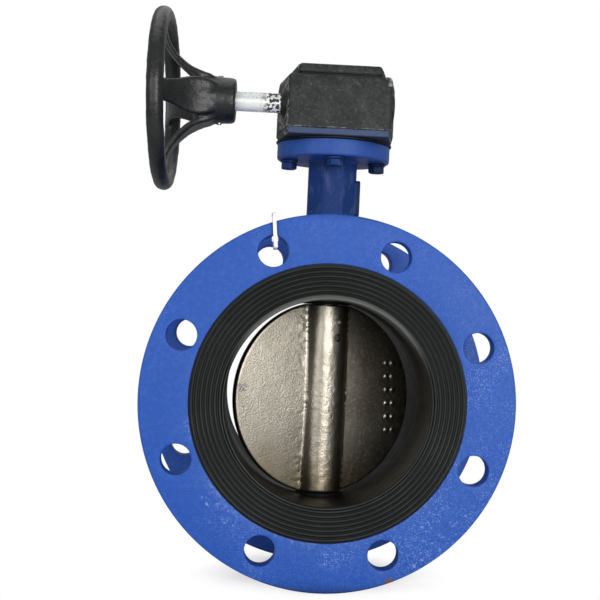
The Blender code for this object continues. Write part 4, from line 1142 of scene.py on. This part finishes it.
def smooth_line(points, per=3):
    """Points along a Catmull-Rom curve through the given ones."""
    out = []
    for i in range(len(points) - 1):
        around = (points[max(i - 1, 0)], points[i], points[i + 1],
                  points[min(i + 2, len(points) - 1)])
        for k in range(per):
            t = k / per
            out.append(tuple(
                0.5 * (2 * b + (c - a) * t + (2 * a - 5 * b + 4 * c - d) * t * t
                       + (3 * b - a - 3 * c + d) * t ** 3)
                for a, b, c, d in zip(*around)))
    out.append(points[-1])
    return out


def spoke_half(r):
    for (r0, w0), (r1, w1) in zip(SPOKE_WIDTHS, SPOKE_WIDTHS[1:]):
        if r <= r1:
            return w0 + (w1 - w0) * (r - r0) / (r1 - r0)
    return SPOKE_WIDTHS[-1][1]


def spoke(turn):
    line = smooth_line(SPOKE_LINE)
    rings = []
    for i, (x, r) in enumerate(line):
        x0, r0 = line[max(i - 1, 0)]
        x1, r1 = line[min(i + 1, len(line) - 1)]
        dx, dr = x1 - x0, r1 - r0
        length = math.hypot(dx, dr)
        normal_x, normal_r = -dr / length, dx / length
        half = spoke_half(r)
        section = rounded([(-half, 0.0), (half, 0.0), (half, SPOKE_T), (-half, SPOKE_T)], 1.9, 3)
        ring = []
        for s, d in section:
            # a shallow hollow runs along the side that the line follows
            hollow = 1.1 * max(0.0, 1 - (s / (half * 0.62)) ** 2) if d < 0.2 else 0.0
            px, pr = x + normal_x * (d + hollow), r + normal_r * (d + hollow)
            ring.append((max(px, -139.2), s, max(pr, 9.0)))
        rings.append(ring)
    return moved(loft(rings), Matrix.Rotation(turn, 4, "X"))


rim = turned([(RIM_R + RIM_T * math.cos(t), RIM_X + RIM_T * math.sin(t))
              for t in (2 * math.pi * (i + 0.5) / 20 for i in range(20))], "X", 120)
hub = turned(rounded(HUB, HUB_RADII, 3), "X", 56)
# the rim and its spokes run slightly out of true with the hub
pivot = Matrix.Translation((-100, 0, 0))
lean = Matrix.Rotation(math.radians(-0.9), 4, "Z") @ Matrix.Rotation(math.radians(-1.4), 4, "Y")
runout = pivot @ lean @ pivot.inverted()
leaning = [rim] + [spoke(math.pi / 2 * i) for i in range(4)]
wheel = gathered([moved(ob, runout) for ob in leaning] + [hub])
# fused and softened like a casting, then roughened coarsely and finely
mod = wheel.modifiers.new("Cast", "REMESH")
mod.mode = "VOXEL"
mod.voxel_size = 1.15
baked(wheel)
mod = wheel.modifiers.new("Soft", "SMOOTH")
mod.factor = 0.5
mod.iterations = 9
baked(wheel)
rough(wheel, amount=0.20, size=9.0, seed=3.0, octaves=3)
rough(wheel, amount=0.12, size=2.8, seed=8.0, octaves=2)
cut(wheel, rod(7.8, -125, -70, "X", 48, phase=0.03),
    rod(2.3, -30, 30, "Z", 24, (PIN_X, 0, 0), phase=0.04))
piece(wheel, "wheel_casting", "handwheel", WHEEL, WHEEL_PAINT, WORM, 60)

# a rolled spring pin: a split tube reaching across the hub
pin = turned(rounded([(1.05, -19), (1.95, -19), (1.95, 19), (1.05, 19)],
                     [0.2, 0.45, 0.45, 0.2], 3), "Z", 28, (PIN_X, 0, 0))
cut(pin, block((PIN_X - 2.5, -0.28, -25), (PIN_X, 0.28, 25)))
piece(pin, "spring_pin", "handwheel_pin", WHEEL, STEEL, WORM)

# ================================================================ nylon tie
TIE_LEAN = math.radians(-5.0)
TIE_FOOT = (-44.4, 0, 113.6)
TIE_LOOP = [(0.0, -72.0), (26.0, -72.0), (26.0, -51.4), (0.0, -51.4)]   # (z, y)
STRAP_T, STRAP_W = 0.55, 1.42       # half thickness and half width
LOCK = [(-2.7, -74.0), (2.1, -74.0), (2.1, -71.6), (-2.7, -71.6)]
LOCK_STEPS = [(4.2, 0.5), (4.6, 0.1), (5.0, 0.0), (7.6, 0.0), (8.0, 0.1), (8.4, 0.5)]
TAIL = [(-1.3, -74.6), (1.55, -74.6), (1.55, -73.5), (-1.3, -73.5)]


def tie():
    """A flat strip looped through a bolt hole and round the flange edge, with lock and tail."""
    path = rounded(TIE_LOOP, 1.9, 5)
    section = rounded([(-STRAP_W, -STRAP_T), (STRAP_W, -STRAP_T), (STRAP_W, STRAP_T),
                       (-STRAP_W, STRAP_T)], 0.3, 2)
    n, m = len(path), len(section)
    bm = bmesh.new()
    rows = []
    for i, (z, y) in enumerate(path):
        (z0, y0), (z1, y1) = path[i - 1], path[(i + 1) % n]
        dz, dy = z1 - z0, y1 - y0
        length = math.hypot(dz, dy)
        out_z, out_y = dy / length, -dz / length
        rows.append([bm.verts.new((s, y + d * out_y, z + d * out_z)) for s, d in section])
    for i in range(n):
        a, b = rows[i], rows[(i + 1) % n]
        for j in range(m):
            bm.faces.new((a[j], a[(j + 1) % m], b[(j + 1) % m], b[j]))
    strap = cleaned(bm)
    lock = loft([[(x, y, h) for x, y in rounded(inset(LOCK, d), 0.7, 3)]
                 for h, d in LOCK_STEPS])
    join(strap, lock, prism(rounded(TAIL, 0.25, 2), 0.2, 9.5))
    return moved(strap, Matrix.Translation(TIE_FOOT) @ Matrix.Rotation(TIE_LEAN, 4, "Y"))


piece(tie(), "cable_tie", "tag_tie", BODY, NYLON, VALVE)

# ================================================================ pieces kept from the frame
for (_, material), nodes in (
    (STEEL, ("upper_stem", "lower_stem", "stem_key")),
    (BRONZE, ("stem_bush_middle", "stem_bush_upper", "stem_bush_lower",
              "worm_bush_outer", "worm_bush_inner", "worm_quadrant")),
    (SEAL, ("stem_oring_lower", "stem_oring_upper")),
):
    for node in nodes:
        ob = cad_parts[node]
        ob.data.materials.clear()
        ob.data.materials.append(material)

# ================================================================ floor
FLOOR_Z = -0.0136

scene = bpy.context.scene
scene.view_settings.view_transform = "Standard"
scene.view_settings.look = "None"

bm = bmesh.new()
bmesh.ops.create_grid(bm, x_segments=1, y_segments=1, size=60.0)
floor_mesh = bpy.data.meshes.new("floor")
bm.to_mesh(floor_mesh)
bm.free()
floor = bpy.data.objects.new("floor", floor_mesh)
floor.location = (0, 0, FLOOR_Z)
scene.collection.objects.link(floor)


def pale_floor():
    """White, taking the contact shadow near the valve and melting into the white world."""
    f = Finish("floor_pale")
    x, y, _ = f.parts(f.co)
    camera_ray = f.node("LightPath").outputs["Is Camera Ray"]
    f.colour = f.mix(camera_ray, (0.62, 0.62, 0.62), (0.94, 0.94, 0.94))
    f.done(rough=0.9, view=(0.88, 0.88, 0.88), Specular_IOR_Level=0.1)
    smudge = f.linear(f.noise(scale=5), gain=0.10, base=-0.05)
    far = f.step(f.add(f.length(x, y), smudge), low=-0.01, high=0.105)
    glow = f.node("Emission", {"Color": (1.0, 1.0, 1.0)})
    both = f.node("MixShader", {
        0: f.mul(far, camera_ray), 1: f.shader.outputs[0], 2: glow.outputs[0]})
    put(f.tree, f.out.inputs[0], both.outputs[0])
    return f.material


floor_mesh.materials.append(pale_floor())


# ================================================================ world, lights and camera
def studio_world():
    """Plain white to the camera; a soft grey, dimmer overhead, to everything else."""
    world = bpy.data.worlds.new("studio")
    world.use_nodes = True
    tree = world.node_tree
    tree.nodes.clear()
    out = add_node(tree, "OutputWorld")
    seen = add_node(tree, "Background", {"Color": (1.0, 1.0, 1.0), "Strength": 1.0})
    direction = add_node(tree, "TexCoord").outputs["Generated"]
    height = add_node(tree, "SeparateXYZ", {0: direction}).outputs["Z"]
    # inputs 1 and 2 are the range mapped to 0..1
    level = add_node(tree, "MapRange", {0: height, 1: -1.0, 2: 1.0}).outputs[0]
    ramp = add_node(tree, "ValToRGB", {0: level})
    low, high = ramp.color_ramp.elements
    low.position = 0.35
    low.color = (0.95, 0.95, 0.96, 1)
    high.position = 0.95
    high.color = (0.55, 0.55, 0.56, 1)
    lit = add_node(tree, "Background", {"Color": ramp.outputs[0], "Strength": 0.46})
    camera_ray = add_node(tree, "LightPath").outputs["Is Camera Ray"]
    pick = add_node(tree, "MixShader", {0: camera_ray, 1: lit.outputs[0], 2: seen.outputs[0]})
    put(tree, out.inputs[0], pick.outputs[0])
    return world


scene.world = studio_world()

LIGHT_AIM = (0.0, 0.0, 0.2)


def softbox(name, at, size, power):
    data = bpy.data.lights.new(name, "AREA")
    data.shape = "RECTANGLE"
    data.size, data.size_y = size
    data.energy = power
    ob = bpy.data.objects.new(name, data)
    ob.location = at
    ob.rotation_euler = (Vector(LIGHT_AIM) - Vector(at)).to_track_quat("-Z", "Y").to_euler()
    scene.collection.objects.link(ob)


softbox("key_right", at=(0.61, -1.68, 0.42), size=(1.08, 0.90), power=17.0)
softbox("fill_left", at=(-0.95, -1.42, 0.45), size=(1.25, 0.9), power=8.0)
softbox("top", at=(-0.2, 0.1, 1.7), size=(1.4, 1.4), power=7.0)
softbox("back", at=(0.3, 1.3, 1.5), size=(1.2, 1.0), power=2.0)

CAMERA_AT = (-0.0647, -0.937, 0.0613 + BORE_Z * MM)
CAMERA_PITCH, CAMERA_YAW, CAMERA_ROLL = (math.radians(v) for v in (0.954, -2.652, -2.654))

cam_data = bpy.data.cameras.new("camera")
cam_data.sensor_width = 36.0
cam_data.lens = 70.206
cam_data.clip_end = 200.0
cam = bpy.data.objects.new("camera", cam_data)
scene.collection.objects.link(cam)
# a level view along +Y, then yawed, pitched and rolled; the turn works with depth as its z
turn = (Matrix.Rotation(CAMERA_ROLL, 3, "Z") @ Matrix.Rotation(CAMERA_PITCH, 3, "X")
        @ Matrix.Rotation(CAMERA_YAW, 3, "Y"))
right, up, forward = (Vector((row[0], row[2], row[1])) for row in turn)
pose = Matrix((right, up, -forward)).transposed().to_4x4()
pose.translation = CAMERA_AT
cam.matrix_world = pose
scene.camera = cam
